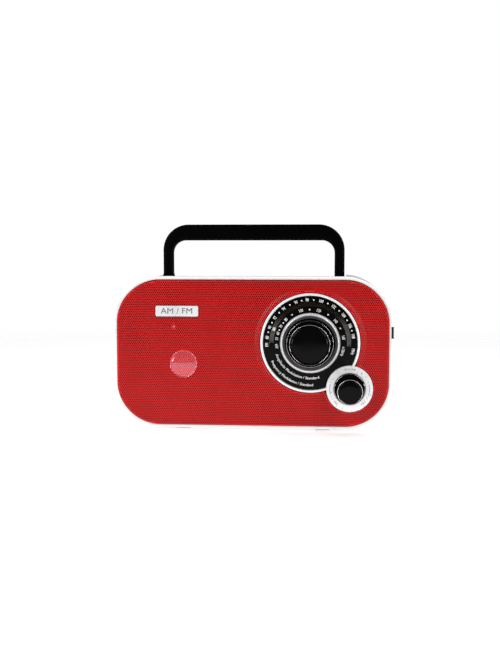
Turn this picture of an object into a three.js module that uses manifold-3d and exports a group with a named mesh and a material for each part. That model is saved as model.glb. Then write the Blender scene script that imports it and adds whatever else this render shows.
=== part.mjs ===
// A portable AM/FM radio: a rounded housing with a perforated front, a big tuning dial, a volume knob
// and a carrying handle that folds back into the top.
// Units are millimetres. +Z is up, the front faces -Y and +X is to the right of someone facing the front.
// Places along the depth are given as a distance behind the grille's face, and at() turns them into Y.
import * as THREE from "three";
import { mergeVertices } from "three/addons/utils/BufferGeometryUtils.js";
import Module from "manifold-3d";

const wasm = await Module();
wasm.setup();

// ---- Driving dimensions ----

const HOUSING_WIDTH = 230;
const HOUSING_HEIGHT = 127;
const HOUSING_CORNER = 38;
const HOUSING_DEPTH = 75;
const WALL = 2.5;
const BEVEL_STEPS = 2;
const FOOT_HEIGHT = 2;
const GAP = 0.3;

const GRILLE_WIDTH = 226.5;
const GRILLE_HEIGHT = 121;
const GRILLE_CORNER = 36;
const GRILLE_BACK = 2.5;
const BEZEL_FRONT = GRILLE_BACK + GAP;
const BEZEL_BACK = 10;
const REAR_FRONT = BEZEL_BACK + GAP;
const BAFFLE_BACK = BEZEL_FRONT + 2;

const BADGE = { x: -62.2, z: 100.25, width: 35.7, height: 8.8 };
const LENS = { x: -56.9, z: 56.4 };
const LED = { x: -65, z: 87.4 };
const LED_HOLE_RADIUS = 1.5;

const DIAL = { x: 48.4, z: 74.5 };
const DIAL_RADIUS = 41.1;
const DIAL_RING = 2.05;
const DIAL_LEDGE = 2.35;
const DIAL_FRONT = -2.2;
const DIAL_PLATE_FRONT = -0.8;
const DIAL_PLATE_BACK = 0.8;
const COLLAR_RADIUS = 46.5;
const COLLAR_FRONT = -1.2;
const WINDOW_RADIUS = 32;
const WINDOW_WIDTH = 3.5;
const WINDOW_HALF_ANGLE = 93;
const POINTER_ANGLE = -69.4;
const TUNING_KNOB_FRONT = -19.5;
const TUNING_KNOB_RADIUS = 20.3;
const TUNING_RING_RADIUS = 24.8;
const TUNING_RING_INNER = 20.6;

const VOLUME = { x: 81, z: 36.9 };
const VOLUME_DISC_RADIUS = 19.2;
const VOLUME_KNOB_FRONT = -22.4;
const VOLUME_KNOB_RADIUS = 13.3;
const SHAFT_RADIUS = 3;

const SPEAKER = { x: -56, z: 62 };
const SPEAKER_RADIUS = 40;
const SPEAKER_FRONT = 5.1;

const HANDLE_HALF_WIDTH = 76.4;
const HANDLE_LEG_WIDTH = 8.3;
const HANDLE_TOP = 172.2;
const HANDLE_BAR_HEIGHT = 13.35;
const HANDLE_OUTER_RADIUS = 21.4;
const HANDLE_INNER_RADIUS = 10.6;
const HANDLE_THICKNESS = 8;
const HANDLE_PIVOT = { d: 21.7, z: 124 };
const HANDLE_HUB_RADIUS = 8.5;
const HANDLE_PIN_RADIUS = 1.5;
const HUB_ROOM = 0.6;

const RECESS_HALF_WIDTH = 78.6;
const RECESS_FLOOR = 119.6;
const RECESS_FRONT = REAR_FRONT + WALL;
const STEP_FLOOR = 101.5;
const STEP_DEPTH = 68.6;
const EAR_GAP = 1.1;
const EAR_WIDTH = 4.4;
const EAR_RADIUS = 3.4;

const BAY = { x0: -58, x1: 50, z0: 10, z1: 64, d: 44.5 };
const BAY_WALL = 1.5;
const DOOR_THICKNESS = 2;
const DOOR_HINGE = { d: 73.7, z: 11.3 };
const DOOR_PIN_RADIUS = 0.7;
const CELL_RADIUS = 12.9;
const CELL_LENGTH = 49.4;

const INLET = { x: 80, z: 62 };
const INLET_WIDTH = 20.6;
const INLET_HEIGHT = 11;
const INLET_BACK = 76.3;
const PIN_SPACING = 8.6;

const ANTENNA = { x: -64, z: 110, d: 73.2 };
const ANTENNA_BARREL_START = 6.2;
const ANTENNA_BARREL_END = 146;
const ANTENNA_SECTION_WALL = 0.3;

const SWITCH = { z: 81.8, d: 18 };
const SWITCH_PROUD = 2.9;
const SWITCH_LENGTH = 9.5;
const SWITCH_TRAVEL = 4;

const SCREWS = [
  { x: -102, z: 40 },
  { x: 102, z: 40 },
  { x: -102, z: 95 },
  { x: 102, z: 95 },
];
const SCREW_WELL_FLOOR = 67;
const SCREW_WELL_RADIUS = 4;
const SCREW_LENGTH = 14;
const SCREW_HEAD_RADIUS = 3;
const SHANK_RADIUS = 1.5;
const POST_RADIUS = 4;

const FOOT = { x: 58.6, front: 6.5, back: 66 };
const FERRITE_ROD = { d: 41, z: 106, radius: 4 };

// ---- Values worked out from them ----

const CENTRE_Z = FOOT_HEIGHT + HOUSING_HEIGHT / 2;
const HALF_WIDTH = HOUSING_WIDTH / 2;
const INNER_WIDTH = HOUSING_WIDTH - 2 * WALL;
const INNER_HEIGHT = HOUSING_HEIGHT - 2 * WALL;
const INNER_CORNER = HOUSING_CORNER - WALL;
const EAR_OUTER = HANDLE_HALF_WIDTH - HANDLE_LEG_WIDTH - EAR_GAP;
const EAR_INNER = EAR_OUTER - EAR_WIDTH;
const PIN_END = RECESS_HALF_WIDTH + 2;
const FACE_Y = -(INLET_BACK + VOLUME_KNOB_FRONT) / 2;
const FAR = 300;

// The Y of a place at distance d behind the grille's face. The object's depth is centred on Y = 0.
const at = (d) => FACE_Y + d;
const radians = THREE.MathUtils.degToRad;

// ---- Finishes ----

const FINISH = {
  red: { color: 0xc81e1e, roughness: 0.38, metalness: 0.3 },
  white: { color: 0xf2f2f0, roughness: 0.35, metalness: 0 },
  black: { color: 0x101012, roughness: 0.3, metalness: 0 },
  mattBlack: { color: 0x1a1a1c, roughness: 0.8, metalness: 0 },
  silver: { color: 0xdcdde0, roughness: 0.35, metalness: 0.6 },
  chrome: { color: 0xe6e6e8, roughness: 0.1, metalness: 1 },
  steel: { color: 0x9a9ca0, roughness: 0.4, metalness: 1 },
  clear: { color: 0xf4f6f8, roughness: 0.05, metalness: 0 },
  amber: { color: 0xd06a50, roughness: 0.3, metalness: 0 },
  board: { color: 0x2f6b3c, roughness: 0.6, metalness: 0 },
  copper: { color: 0xb5673a, roughness: 0.4, metalness: 0.9 },
  ferrite: { color: 0x35353a, roughness: 0.7, metalness: 0.2 },
  paper: { color: 0x2a2a2c, roughness: 0.9, metalness: 0 },
  cell: { color: 0x4a5a78, roughness: 0.4, metalness: 0.4 },
};

const radio = new THREE.Group();

// Adds one named piece with a material of its own.
function piece(name, geometry, finish) {
  const mesh = new THREE.Mesh(geometry, new THREE.MeshStandardMaterial(FINISH[finish]));
  mesh.name = name;
  radio.add(mesh);
}

// ---- Solids ----

function toSolid(geometry) {
  const bare = geometry.clone();
  bare.deleteAttribute("normal");
  bare.deleteAttribute("uv");
  const merged = mergeVertices(bare, 1e-4);
  return new wasm.Manifold(
    new wasm.Mesh({
      numProp: 3,
      vertProperties: merged.attributes.position.array,
      triVerts: new Uint32Array(merged.index.array),
    }),
  );
}

function toGeometry(solid) {
  const mesh = solid.getMesh();
  const geometry = new THREE.BufferGeometry();
  geometry.setAttribute("position", new THREE.BufferAttribute(mesh.vertProperties, 3));
  geometry.setIndex(new THREE.BufferAttribute(mesh.triVerts, 1));
  geometry.computeVertexNormals();
  return geometry;
}

// A box between two corners, each given as [x, d, z].
function box([x0, d0, z0], [x1, d1, z1]) {
  return new THREE.BoxGeometry(x1 - x0, d1 - d0, z1 - z0).translate(
    (x0 + x1) / 2,
    at((d0 + d1) / 2),
    (z0 + z1) / 2,
  );
}

// A turned piece about an axis along the depth. The profile is [radius, d] from its front to its back.
function turned(profile, place, segments = 28) {
  const points = profile.map(([radius, d]) => new THREE.Vector2(radius, at(d)));
  return new THREE.LatheGeometry(points, segments).translate(place.x, 0, place.z);
}

function disc(radius, d0, d1, place, segments) {
  return turned([[0, d0], [radius, d0], [radius, d1], [0, d1]], place, segments);
}

function ring(outer, inner, d0, d1, place, segments) {
  return turned([[inner, d0], [outer, d0], [outer, d1], [inner, d1], [inner, d0]], place, segments);
}

// A turned piece about an axis along X. The profile is [radius, x] from its left to its right.
function turnedAlongX(profile, d, z, segments = 16) {
  const points = profile.map(([radius, x]) => new THREE.Vector2(radius, x));
  return new THREE.LatheGeometry(points, segments).rotateZ(-Math.PI / 2).translate(0, at(d), z);
}

function rodAlongX(radius, x0, x1, d, z, segments) {
  return turnedAlongX([[0, x0], [radius, x0], [radius, x1], [0, x1]], d, z, segments);
}

// A rounded rectangle in the XZ plane.
function roundedRect(width, height, radius, x = 0, z = CENTRE_Z) {
  const right = x + width / 2 - radius;
  const left = x - width / 2 + radius;
  const top = z + height / 2 - radius;
  const bottom = z - height / 2 + radius;
  const shape = new THREE.Shape();
  shape.absarc(right, bottom, radius, -Math.PI / 2, 0);
  shape.absarc(right, top, radius, 0, Math.PI / 2);
  shape.absarc(left, top, radius, Math.PI / 2, Math.PI);
  shape.absarc(left, bottom, radius, Math.PI, 1.5 * Math.PI);
  return shape;
}

// A shape of the XZ plane carried along the depth from d0 to d1, with its edges rounded by bevel.
function plate(shape, d0, d1, bevel = 0, curveSegments = 5) {
  return new THREE.ExtrudeGeometry(shape, {
    depth: d1 - d0 - 2 * bevel,
    bevelEnabled: bevel > 0,
    bevelThickness: bevel,
    bevelSize: bevel,
    bevelOffset: -bevel,
    bevelSegments: BEVEL_STEPS,
    curveSegments,
  })
    .rotateX(Math.PI / 2)
    .translate(0, at(d1) - bevel, 0);
}

// A band of the dial between two radii, from -halfAngle to halfAngle each side of the top, with round ends.
function dialBand(radius, width, halfAngle) {
  const inner = radius - width / 2;
  const outer = radius + width / 2;
  const left = radians(90 + halfAngle);
  const right = radians(90 - halfAngle);
  const end = (angle) => [DIAL.x + radius * Math.cos(angle), DIAL.z + radius * Math.sin(angle)];
  const shape = new THREE.Shape();
  shape.absarc(DIAL.x, DIAL.z, outer, right, left);
  shape.absarc(...end(left), width / 2, left, left + Math.PI);
  shape.absarc(DIAL.x, DIAL.z, inner, left, right, true);
  shape.absarc(...end(right), width / 2, right + Math.PI, right + 2 * Math.PI);
  return shape;
}

function cut(geometry, ...tools) {
  return toGeometry(tools.reduce((solid, tool) => solid.subtract(toSolid(tool)), toSolid(geometry)));
}

function join(geometry, ...others) {
  return toGeometry(others.reduce((solid, other) => solid.add(toSolid(other)), toSolid(geometry)));
}

// ---- Front ----

function frontGrille() {
  const inner = DIAL_RADIUS - 1;
  const slopeEnd = COLLAR_RADIUS - 3.5;
  const collar = turned(
    [
      [inner, COLLAR_FRONT],
      [slopeEnd, COLLAR_FRONT],
      [COLLAR_RADIUS, 0],
      [COLLAR_RADIUS, 1],
      [inner, 1],
      [inner, COLLAR_FRONT],
    ],
    DIAL,
  );
  const sheet = plate(roundedRect(GRILLE_WIDTH, GRILLE_HEIGHT, GRILLE_CORNER), 0, GRILLE_BACK, 0.8);
  return cut(
    join(sheet, collar),
    disc(DIAL_RADIUS + GAP, -5, 5, DIAL),
    disc(VOLUME_DISC_RADIUS + GAP, -5, 5, VOLUME),
    disc(LED_HOLE_RADIUS, -5, 5, LED, 16),
  );
}

function frontBezel() {
  return cut(
    plate(roundedRect(HOUSING_WIDTH, HOUSING_HEIGHT, HOUSING_CORNER), BEZEL_FRONT, BEZEL_BACK, 1.5),
    plate(roundedRect(INNER_WIDTH, INNER_HEIGHT, INNER_CORNER), 0, BEZEL_BACK + 5),
  );
}

// The board behind the grille: it carries the speaker and the knobs, and four posts for the rear screws.
function frontBaffle() {
  const postEnd = SCREW_WELL_FLOOR - WALL - GAP;
  const pilot = SHANK_RADIUS + GAP;
  const board = plate(
    roundedRect(INNER_WIDTH - 2 * GAP, INNER_HEIGHT - 2 * GAP, INNER_CORNER - GAP),
    BEZEL_FRONT,
    BAFFLE_BACK,
  );
  const posts = SCREWS.map((place) => disc(POST_RADIUS, BEZEL_FRONT + 1, postEnd, place, 16));
  return cut(
    join(board, ...posts),
    disc(SPEAKER_RADIUS - 6, 0, 10, SPEAKER),
    disc(SHAFT_RADIUS + GAP, 0, 10, DIAL, 20),
    disc(SHAFT_RADIUS + GAP, 0, 10, VOLUME, 20),
    ...SCREWS.map((place) => disc(pilot, postEnd - SCREW_LENGTH, postEnd + 1, place, 12)),
  );
}

function frontTrim() {
  const badge = roundedRect(BADGE.width, BADGE.height, 1.2, BADGE.x, BADGE.z);
  const lens = [
    [0, -1.9],
    [6, -1.7],
    [10.4, -1.2],
    [11.5, -0.7],
    [11.5, -GAP],
    [0, -GAP],
  ];
  const led = [
    [0, -0.8],
    [0.8, -0.6],
    [1.2, 0],
    [1.2, 2.2],
    [0, 2.2],
  ];
  piece("front_badge", plate(badge, -1.4, -GAP, 0.25, 2), "silver");
  piece("clear_disc", turned(lens, LENS), "clear");
  piece("power_led", turned(led, LED, 12), "amber");
}

// ---- Dial and knobs ----

// The silver moulding round the dial, which widens into the disc under the volume knob.
function dialBezel() {
  const inner = DIAL_RADIUS - DIAL_RING;
  const ledge = inner - DIAL_LEDGE;
  const hoop = turned(
    [
      [inner, DIAL_FRONT],
      [DIAL_RADIUS, DIAL_FRONT],
      [DIAL_RADIUS, GRILLE_BACK],
      [ledge, GRILLE_BACK],
      [ledge, DIAL_PLATE_BACK + GAP],
      [inner, DIAL_PLATE_BACK + GAP],
      [inner, DIAL_FRONT],
    ],
    DIAL,
    48,
  );
  const volumeDisc = disc(VOLUME_DISC_RADIUS, DIAL_FRONT, DIAL_PLATE_BACK, VOLUME);
  return cut(join(hoop, volumeDisc), disc(SHAFT_RADIUS + GAP, -5, 5, VOLUME, 20));
}

function dialPlate() {
  return cut(
    disc(DIAL_RADIUS - DIAL_RING - GAP, DIAL_PLATE_FRONT, DIAL_PLATE_BACK, DIAL, 48),
    disc(VOLUME_DISC_RADIUS + GAP, -5, 5, VOLUME),
    disc(SHAFT_RADIUS + GAP, -5, 5, DIAL, 20),
    plate(dialBand(WINDOW_RADIUS, WINDOW_WIDTH, WINDOW_HALF_ANGLE), -5, 5, 0, 8),
  );
}

function dialWindow() {
  return plate(dialBand(WINDOW_RADIUS, WINDOW_WIDTH - 2 * GAP, WINDOW_HALF_ANGLE), -0.5, 0.5, 0, 8);
}

// The disc that turns behind the dial, with the raised mark that shows in the window.
function pointerDisc() {
  const front = DIAL_PLATE_BACK + GAP;
  const radius = DIAL_RADIUS - DIAL_RING - DIAL_LEDGE - 0.5;
  const face = ring(radius, SHAFT_RADIUS + GAP, front + 0.4, front + 1.2, DIAL, 36);
  const mark = new THREE.BoxGeometry(3, 0.8, 2.9)
    .translate(0, at(front + 0.4), WINDOW_RADIUS)
    .rotateY(radians(POINTER_ANGLE))
    .translate(DIAL.x, 0, DIAL.z);
  return join(face, mark);
}

function tuningKnob() {
  const base = DIAL_PLATE_FRONT - GAP;
  const front = TUNING_KNOB_FRONT;
  const bore = SHAFT_RADIUS + GAP;
  const chromeRing = [
    [TUNING_RING_INNER, -4.4],
    [TUNING_RING_RADIUS - 1.6, -4.4],
    [TUNING_RING_RADIUS, -2.6],
    [TUNING_RING_RADIUS, base],
    [TUNING_RING_INNER, base],
    [TUNING_RING_INNER, -4.4],
  ];
  const body = [
    [0, front + 1.8],
    [15.6, front + 1.8],
    [15.6, front + 0.8],
    [16.2, front],
    [17.2, front + 0.9],
    [18.8, front + 9],
    [TUNING_KNOB_RADIUS, base],
    [bore, base],
    [bore, front + 5],
    [0, front + 5],
  ];
  const cap = [
    [0, front],
    [12, front + 0.2],
    [15.2, front + 0.9],
    [15.2, front + 1.5],
    [0, front + 1.5],
  ];
  const capacitor = box([DIAL.x - 12, 16, DIAL.z - 12], [DIAL.x + 12, 30.5, DIAL.z + 12]);
  piece("tuning_knob_ring", turned(chromeRing, DIAL, 36), "chrome");
  piece("tuning_knob", turned(body, DIAL, 36), "black");
  piece("tuning_knob_cap", turned(cap, DIAL, 32), "black");
  piece("tuning_shaft", disc(SHAFT_RADIUS, front + 5.4, 21, DIAL, 20), "steel");
  piece("tuning_capacitor", cut(capacitor, disc(bore, 10, 22, DIAL, 20)), "clear");
}

function volumeKnob() {
  const base = DIAL_FRONT - GAP;
  const front = VOLUME_KNOB_FRONT;
  const bore = SHAFT_RADIUS + GAP;
  const body = [
    [0, front + 1.4],
    [9.6, front + 1.4],
    [10.4, front + 2.2],
    [12.6, -4.5],
    [bore, -4.5],
    [bore, front + 5],
    [0, front + 5],
  ];
  const cap = [
    [0, front],
    [8.2, front + 0.2],
    [9.4, front + 0.7],
    [9.4, front + 1.1],
    [0, front + 1.1],
  ];
  const pot = [
    [bore, 5.1],
    [4.6, 5.1],
    [4.6, 10],
    [8.5, 10],
    [8.5, 20],
    [0, 20],
    [0, 16.4],
    [bore, 16.4],
    [bore, 5.1],
  ];
  piece("volume_knob_base", ring(VOLUME_KNOB_RADIUS, bore, -4.2, base, VOLUME), "black");
  piece("volume_knob", turned(body, VOLUME), "chrome");
  piece("volume_knob_cap", turned(cap, VOLUME), "black");
  piece("volume_shaft", disc(SHAFT_RADIUS, front + 5.4, 16, VOLUME, 20), "steel");
  piece("volume_pot", turned(pot, VOLUME, 24), "steel");
}

// ---- Housing ----

// Everything that the rear shell is open for, seen from outside.
function rearOpenings() {
  const hubRoom = HANDLE_HUB_RADIUS + HUB_ROOM;
  const legIn = HANDLE_HALF_WIDTH - HANDLE_LEG_WIDTH - HUB_ROOM;
  const legOut = HANDLE_HALF_WIDTH + HUB_ROOM;
  const pockets = [-1, 1].map((side) =>
    box(
      [Math.min(side * legIn, side * legOut), RECESS_FRONT, HANDLE_PIVOT.z - hubRoom],
      [Math.max(side * legIn, side * legOut), HANDLE_PIVOT.d + hubRoom, FAR],
    ),
  );
  const recess = box([-RECESS_HALF_WIDTH, RECESS_FRONT, RECESS_FLOOR], [RECESS_HALF_WIDTH, FAR, FAR]);
  const step = box([-FAR, STEP_DEPTH, STEP_FLOOR], [FAR, FAR, FAR]);
  const bay = box([BAY.x0, BAY.d, BAY.z0], [BAY.x1, FAR, BAY.z1]);
  return { recess, pockets, step, bay };
}

// The hollow inside the rear shell: the housing's outline less a wall's thickness round every opening.
function rearHollow() {
  const legIn = HANDLE_HALF_WIDTH - HANDLE_LEG_WIDTH - HUB_ROOM - WALL;
  const legOut = HANDLE_HALF_WIDTH + HUB_ROOM + WALL;
  const pocketFloor = HANDLE_PIVOT.z - HANDLE_HUB_RADIUS - HUB_ROOM - WALL;
  const pocketBack = HANDLE_PIVOT.d + HANDLE_HUB_RADIUS + HUB_ROOM + WALL;
  const aroundPockets = [-1, 1].map((side) =>
    box(
      [Math.min(side * legIn, side * legOut), 0, pocketFloor],
      [Math.max(side * legIn, side * legOut), pocketBack, FAR],
    ),
  );
  const aroundRecess = box(
    [-RECESS_HALF_WIDTH - WALL, 0, RECESS_FLOOR - WALL],
    [RECESS_HALF_WIDTH + WALL, FAR, FAR],
  );
  const aroundStep = box([-FAR, STEP_DEPTH - WALL, STEP_FLOOR - WALL], [FAR, FAR, FAR]);
  const aroundBay = box(
    [BAY.x0 - BAY_WALL, BAY.d - BAY_WALL, BAY.z0 - BAY_WALL],
    [BAY.x1 + BAY_WALL, FAR, BAY.z1 + BAY_WALL],
  );
  const wells = SCREWS.map((place) => disc(6.5, SCREW_WELL_FLOOR - WALL, FAR, place, 20));
  return cut(
    plate(roundedRect(INNER_WIDTH, INNER_HEIGHT, INNER_CORNER), 0, HOUSING_DEPTH - WALL),
    aroundRecess,
    ...aroundPockets,
    aroundStep,
    aroundBay,
    ...wells,
  );
}

// The two low ears beside the handle's hubs, which hold the inner ends of its pins.
function handleEar(side) {
  const x0 = side < 0 ? -EAR_OUTER : EAR_INNER;
  const x1 = side < 0 ? -EAR_INNER : EAR_OUTER;
  const block = box(
    [x0, HANDLE_PIVOT.d - EAR_RADIUS, RECESS_FLOOR - 1],
    [x1, HANDLE_PIVOT.d + EAR_RADIUS, HANDLE_PIVOT.z],
  );
  return join(block, rodAlongX(EAR_RADIUS, x0, x1, HANDLE_PIVOT.d, HANDLE_PIVOT.z));
}

function rearHousing() {
  const outside = plate(
    roundedRect(HOUSING_WIDTH, HOUSING_HEIGHT, HOUSING_CORNER),
    REAR_FRONT - 3,
    HOUSING_DEPTH,
    3,
  );
  const { recess, pockets, step, bay } = rearOpenings();
  const ahead = box([-FAR, -FAR, -FAR], [FAR, REAR_FRONT, FAR]);
  const shell = cut(outside, ahead, rearHollow(), recess, step, bay);
  const inletWidth = INLET_WIDTH + 2 * GAP;
  const inletHeight = INLET_HEIGHT + 2 * GAP;
  const pinHole = HANDLE_PIN_RADIUS + GAP;
  const switchSlot = box(
    [HALF_WIDTH - 5, SWITCH.d - 2.6, SWITCH.z - SWITCH_LENGTH / 2 - SWITCH_TRAVEL - 0.6],
    [HALF_WIDTH + 5, SWITCH.d + 2.6, SWITCH.z + SWITCH_LENGTH / 2 + 0.6],
  );
  return cut(
    join(shell, handleEar(-1), handleEar(1)),
    ...pockets,
    rodAlongX(pinHole, EAR_INNER - 1, PIN_END + 1, HANDLE_PIVOT.d, HANDLE_PIVOT.z),
    rodAlongX(pinHole, -PIN_END - 1, 1 - EAR_INNER, HANDLE_PIVOT.d, HANDLE_PIVOT.z),
    switchSlot,
    plate(roundedRect(inletWidth, inletHeight, 2, INLET.x, INLET.z), 60, 80, 0, 3),
    rodAlongX(DOOR_PIN_RADIUS + GAP, BAY.x0 - 2.4, BAY.x1 + 2.4, DOOR_HINGE.d, DOOR_HINGE.z, 12),
    ...SCREWS.map((place) => disc(SCREW_WELL_RADIUS, SCREW_WELL_FLOOR, FAR, place, 20)),
    ...SCREWS.map((place) => disc(SHANK_RADIUS + GAP, 50, FAR, place, 12)),
  );
}

function rearScrews() {
  const seat = SCREW_WELL_FLOOR + GAP;
  SCREWS.forEach((place, i) => {
    const profile = [
      [0, seat - SCREW_LENGTH],
      [SHANK_RADIUS, seat - SCREW_LENGTH + 1],
      [SHANK_RADIUS, seat],
      [SCREW_HEAD_RADIUS, seat],
      [SCREW_HEAD_RADIUS, seat + 1.2],
      [1.6, seat + 2.2],
      [0, seat + 2.2],
    ];
    piece(`rear_screw_${i + 1}`, turned(profile, place, 12), "steel");
  });
}

function feet() {
  const places = [
    { x: -FOOT.x, d: FOOT.front },
    { x: FOOT.x, d: FOOT.front },
    { x: -FOOT.x, d: FOOT.back },
    { x: FOOT.x, d: FOOT.back },
  ];
  places.forEach(({ x, d }, i) => {
    const pad = roundedRect(11.5, 6.5, 2.4, 0, 0);
    const geometry = new THREE.ExtrudeGeometry(pad, {
      depth: FOOT_HEIGHT - GAP,
      bevelEnabled: false,
      curveSegments: 2,
    }).translate(x, at(d), 0);
    piece(`foot_${i + 1}`, geometry, "white");
  });
}

// ---- Handle ----

// The bail's outline seen from the front: two legs, a deep bar and rounded corners.
function handleOutline() {
  const outer = HANDLE_HALF_WIDTH;
  const inner = HANDLE_HALF_WIDTH - HANDLE_LEG_WIDTH;
  const under = HANDLE_TOP - HANDLE_BAR_HEIGHT;
  const outerX = outer - HANDLE_OUTER_RADIUS;
  const outerZ = HANDLE_TOP - HANDLE_OUTER_RADIUS;
  const innerX = inner - HANDLE_INNER_RADIUS;
  const innerZ = under - HANDLE_INNER_RADIUS;
  const shape = new THREE.Shape();
  shape.moveTo(outer, HANDLE_PIVOT.z);
  shape.lineTo(outer, outerZ);
  shape.absarc(outerX, outerZ, HANDLE_OUTER_RADIUS, 0, Math.PI / 2);
  shape.absarc(-outerX, outerZ, HANDLE_OUTER_RADIUS, Math.PI / 2, Math.PI);
  shape.lineTo(-outer, HANDLE_PIVOT.z);
  shape.lineTo(-inner, HANDLE_PIVOT.z);
  shape.absarc(-innerX, innerZ, HANDLE_INNER_RADIUS, Math.PI, Math.PI / 2, true);
  shape.absarc(innerX, innerZ, HANDLE_INNER_RADIUS, Math.PI / 2, 0, true);
  shape.lineTo(inner, HANDLE_PIVOT.z);
  return shape;
}

function handle() {
  const { d, z } = HANDLE_PIVOT;
  const half = HANDLE_THICKNESS / 2;
  const outer = HANDLE_HALF_WIDTH;
  const inner = outer - HANDLE_LEG_WIDTH;
  const hole = HANDLE_PIN_RADIUS + GAP;
  const bail = plate(handleOutline(), d - half, d + half, 1.4);
  const hubs = [
    rodAlongX(HANDLE_HUB_RADIUS, inner, outer, d, z, 24),
    rodAlongX(HANDLE_HUB_RADIUS, -outer, -inner, d, z, 24),
  ];
  return cut(join(bail, ...hubs), rodAlongX(hole, -outer - 1, outer + 1, d, z, 12));
}

function handlePins() {
  const { d, z } = HANDLE_PIVOT;
  const start = EAR_INNER + GAP;
  piece("handle_pin_left", rodAlongX(HANDLE_PIN_RADIUS, -PIN_END, -start, d, z), "steel");
  piece("handle_pin_right", rodAlongX(HANDLE_PIN_RADIUS, start, PIN_END, d, z), "steel");
}

// ---- Telescopic antenna, stowed along the step at the top of the back ----

// The swivelling base: a turned boss with a slot for the antenna's tongue and the elbow pin across it.
function antennaBase() {
  const { x, z, d } = ANTENNA;
  const front = STEP_DEPTH + 0.4;
  const back = d + 2.7;
  const boss = turned([[0, front], [5.8, front], [5.8, back - 0.5], [5.3, back], [0, back]], ANTENNA, 24);
  const slot = box([x - 2.9, d - 2.6, z - 1.5], [x + 20, d + 20, z + 1.5]);
  const pin = new THREE.CylinderGeometry(0.9, 0.9, 7, 12).rotateX(Math.PI / 2).translate(x, at(d), z);
  return join(cut(boss, slot), pin);
}

function antennaOuterSection() {
  const { x, z, d } = ANTENNA;
  const barrel = turnedAlongX(
    [
      [0, x + ANTENNA_BARREL_START],
      [2.8, x + ANTENNA_BARREL_START],
      [2.8, x + ANTENNA_BARREL_END],
      [2.5, x + ANTENNA_BARREL_END],
      [2.5, x + 10],
      [0, x + 10],
    ],
    d,
    z,
    20,
  );
  const tongue = box([x, d - 2.2, z - 1.2], [x + ANTENNA_BARREL_START + 1, d + 2.2, z + 1.2]);
  const eye = new THREE.CylinderGeometry(2.2, 2.2, 2.4, 20).rotateX(Math.PI / 2).translate(x, at(d), z);
  const hole = new THREE.CylinderGeometry(1.2, 1.2, 9, 16).rotateX(Math.PI / 2).translate(x, at(d), z);
  return cut(join(barrel, tongue, eye), hole);
}

// An inner tube of the antenna: it starts inside the one before and its open end stands a little proud.
function antennaTube(radius, start, end) {
  const inner = radius - ANTENNA_SECTION_WALL;
  const x0 = ANTENNA.x + start;
  const x1 = ANTENNA.x + end;
  return turnedAlongX(
    [[0, x0], [radius, x0], [radius, x1], [inner, x1], [inner, x0 + 2], [0, x0 + 2]],
    ANTENNA.d,
    ANTENNA.z,
    16,
  );
}

function antennaRod() {
  const x = ANTENNA.x;
  const tip = x + 151;
  const profile = [
    [0, x + 17],
    [1, x + 17],
    [1, tip],
    [2.2, tip],
    [2.9, tip + 1],
    [2.9, tip + 7],
    [1.8, tip + 8.5],
    [0, tip + 8.5],
  ];
  return turnedAlongX(profile, ANTENNA.d, ANTENNA.z, 16);
}

// ---- Battery compartment and mains inlet ----

// The cover of the battery compartment: it swings down about two small pins at its lower corners.
function batteryDoor() {
  const back = DOOR_HINGE.d + DOOR_THICKNESS / 2;
  const front = DOOR_HINGE.d - DOOR_THICKNESS / 2;
  const x0 = BAY.x0 + GAP;
  const x1 = BAY.x1 - GAP;
  return join(
    box([x0, front, DOOR_HINGE.z], [x1, back, BAY.z1 - GAP]),
    rodAlongX(DOOR_THICKNESS / 2, x0, x1, DOOR_HINGE.d, DOOR_HINGE.z, 16),
    rodAlongX(DOOR_PIN_RADIUS, BAY.x0 - 2, BAY.x1 + 2, DOOR_HINGE.d, DOOR_HINGE.z, 12),
  );
}

function batteries() {
  const middle = (BAY.x0 + BAY.x1) / 2;
  const row = (BAY.z1 - BAY.z0) / 4;
  const d = BAY.d + 1 + CELL_RADIUS;
  const places = [
    { x: middle - CELL_LENGTH - 0.2, z: BAY.z0 + row },
    { x: middle + 0.2, z: BAY.z0 + row },
    { x: middle - CELL_LENGTH - 0.2, z: BAY.z0 + 3 * row },
    { x: middle + 0.2, z: BAY.z0 + 3 * row },
  ];
  places.forEach(({ x, z }, i) => {
    const profile = [
      [0, x],
      [CELL_RADIUS, x],
      [CELL_RADIUS, x + CELL_LENGTH - 1.6],
      [3.2, x + CELL_LENGTH - 1.6],
      [3.2, x + CELL_LENGTH],
      [0, x + CELL_LENGTH],
    ];
    piece(`battery_cell_${i + 1}`, turnedAlongX(profile, d, z, 20), "cell");
  });
  const contact = (x0, side) => {
    const strip = box([x0, d - 8, BAY.z0 + 3], [x0 + 0.6, d + 8, BAY.z1 - 3]);
    const springs = [1, 3].map((n) => {
      const x = side > 0 ? x0 + 0.3 : x0 - 2.4;
      return rodAlongX(4, x, x + 2.7, d, BAY.z0 + n * row, 16);
    });
    return join(strip, ...springs);
  };
  piece("battery_contact_left", contact(BAY.x0 + GAP, 1), "steel");
  piece("battery_contact_right", contact(BAY.x1 - GAP - 0.6, -1), "steel");
}

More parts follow.
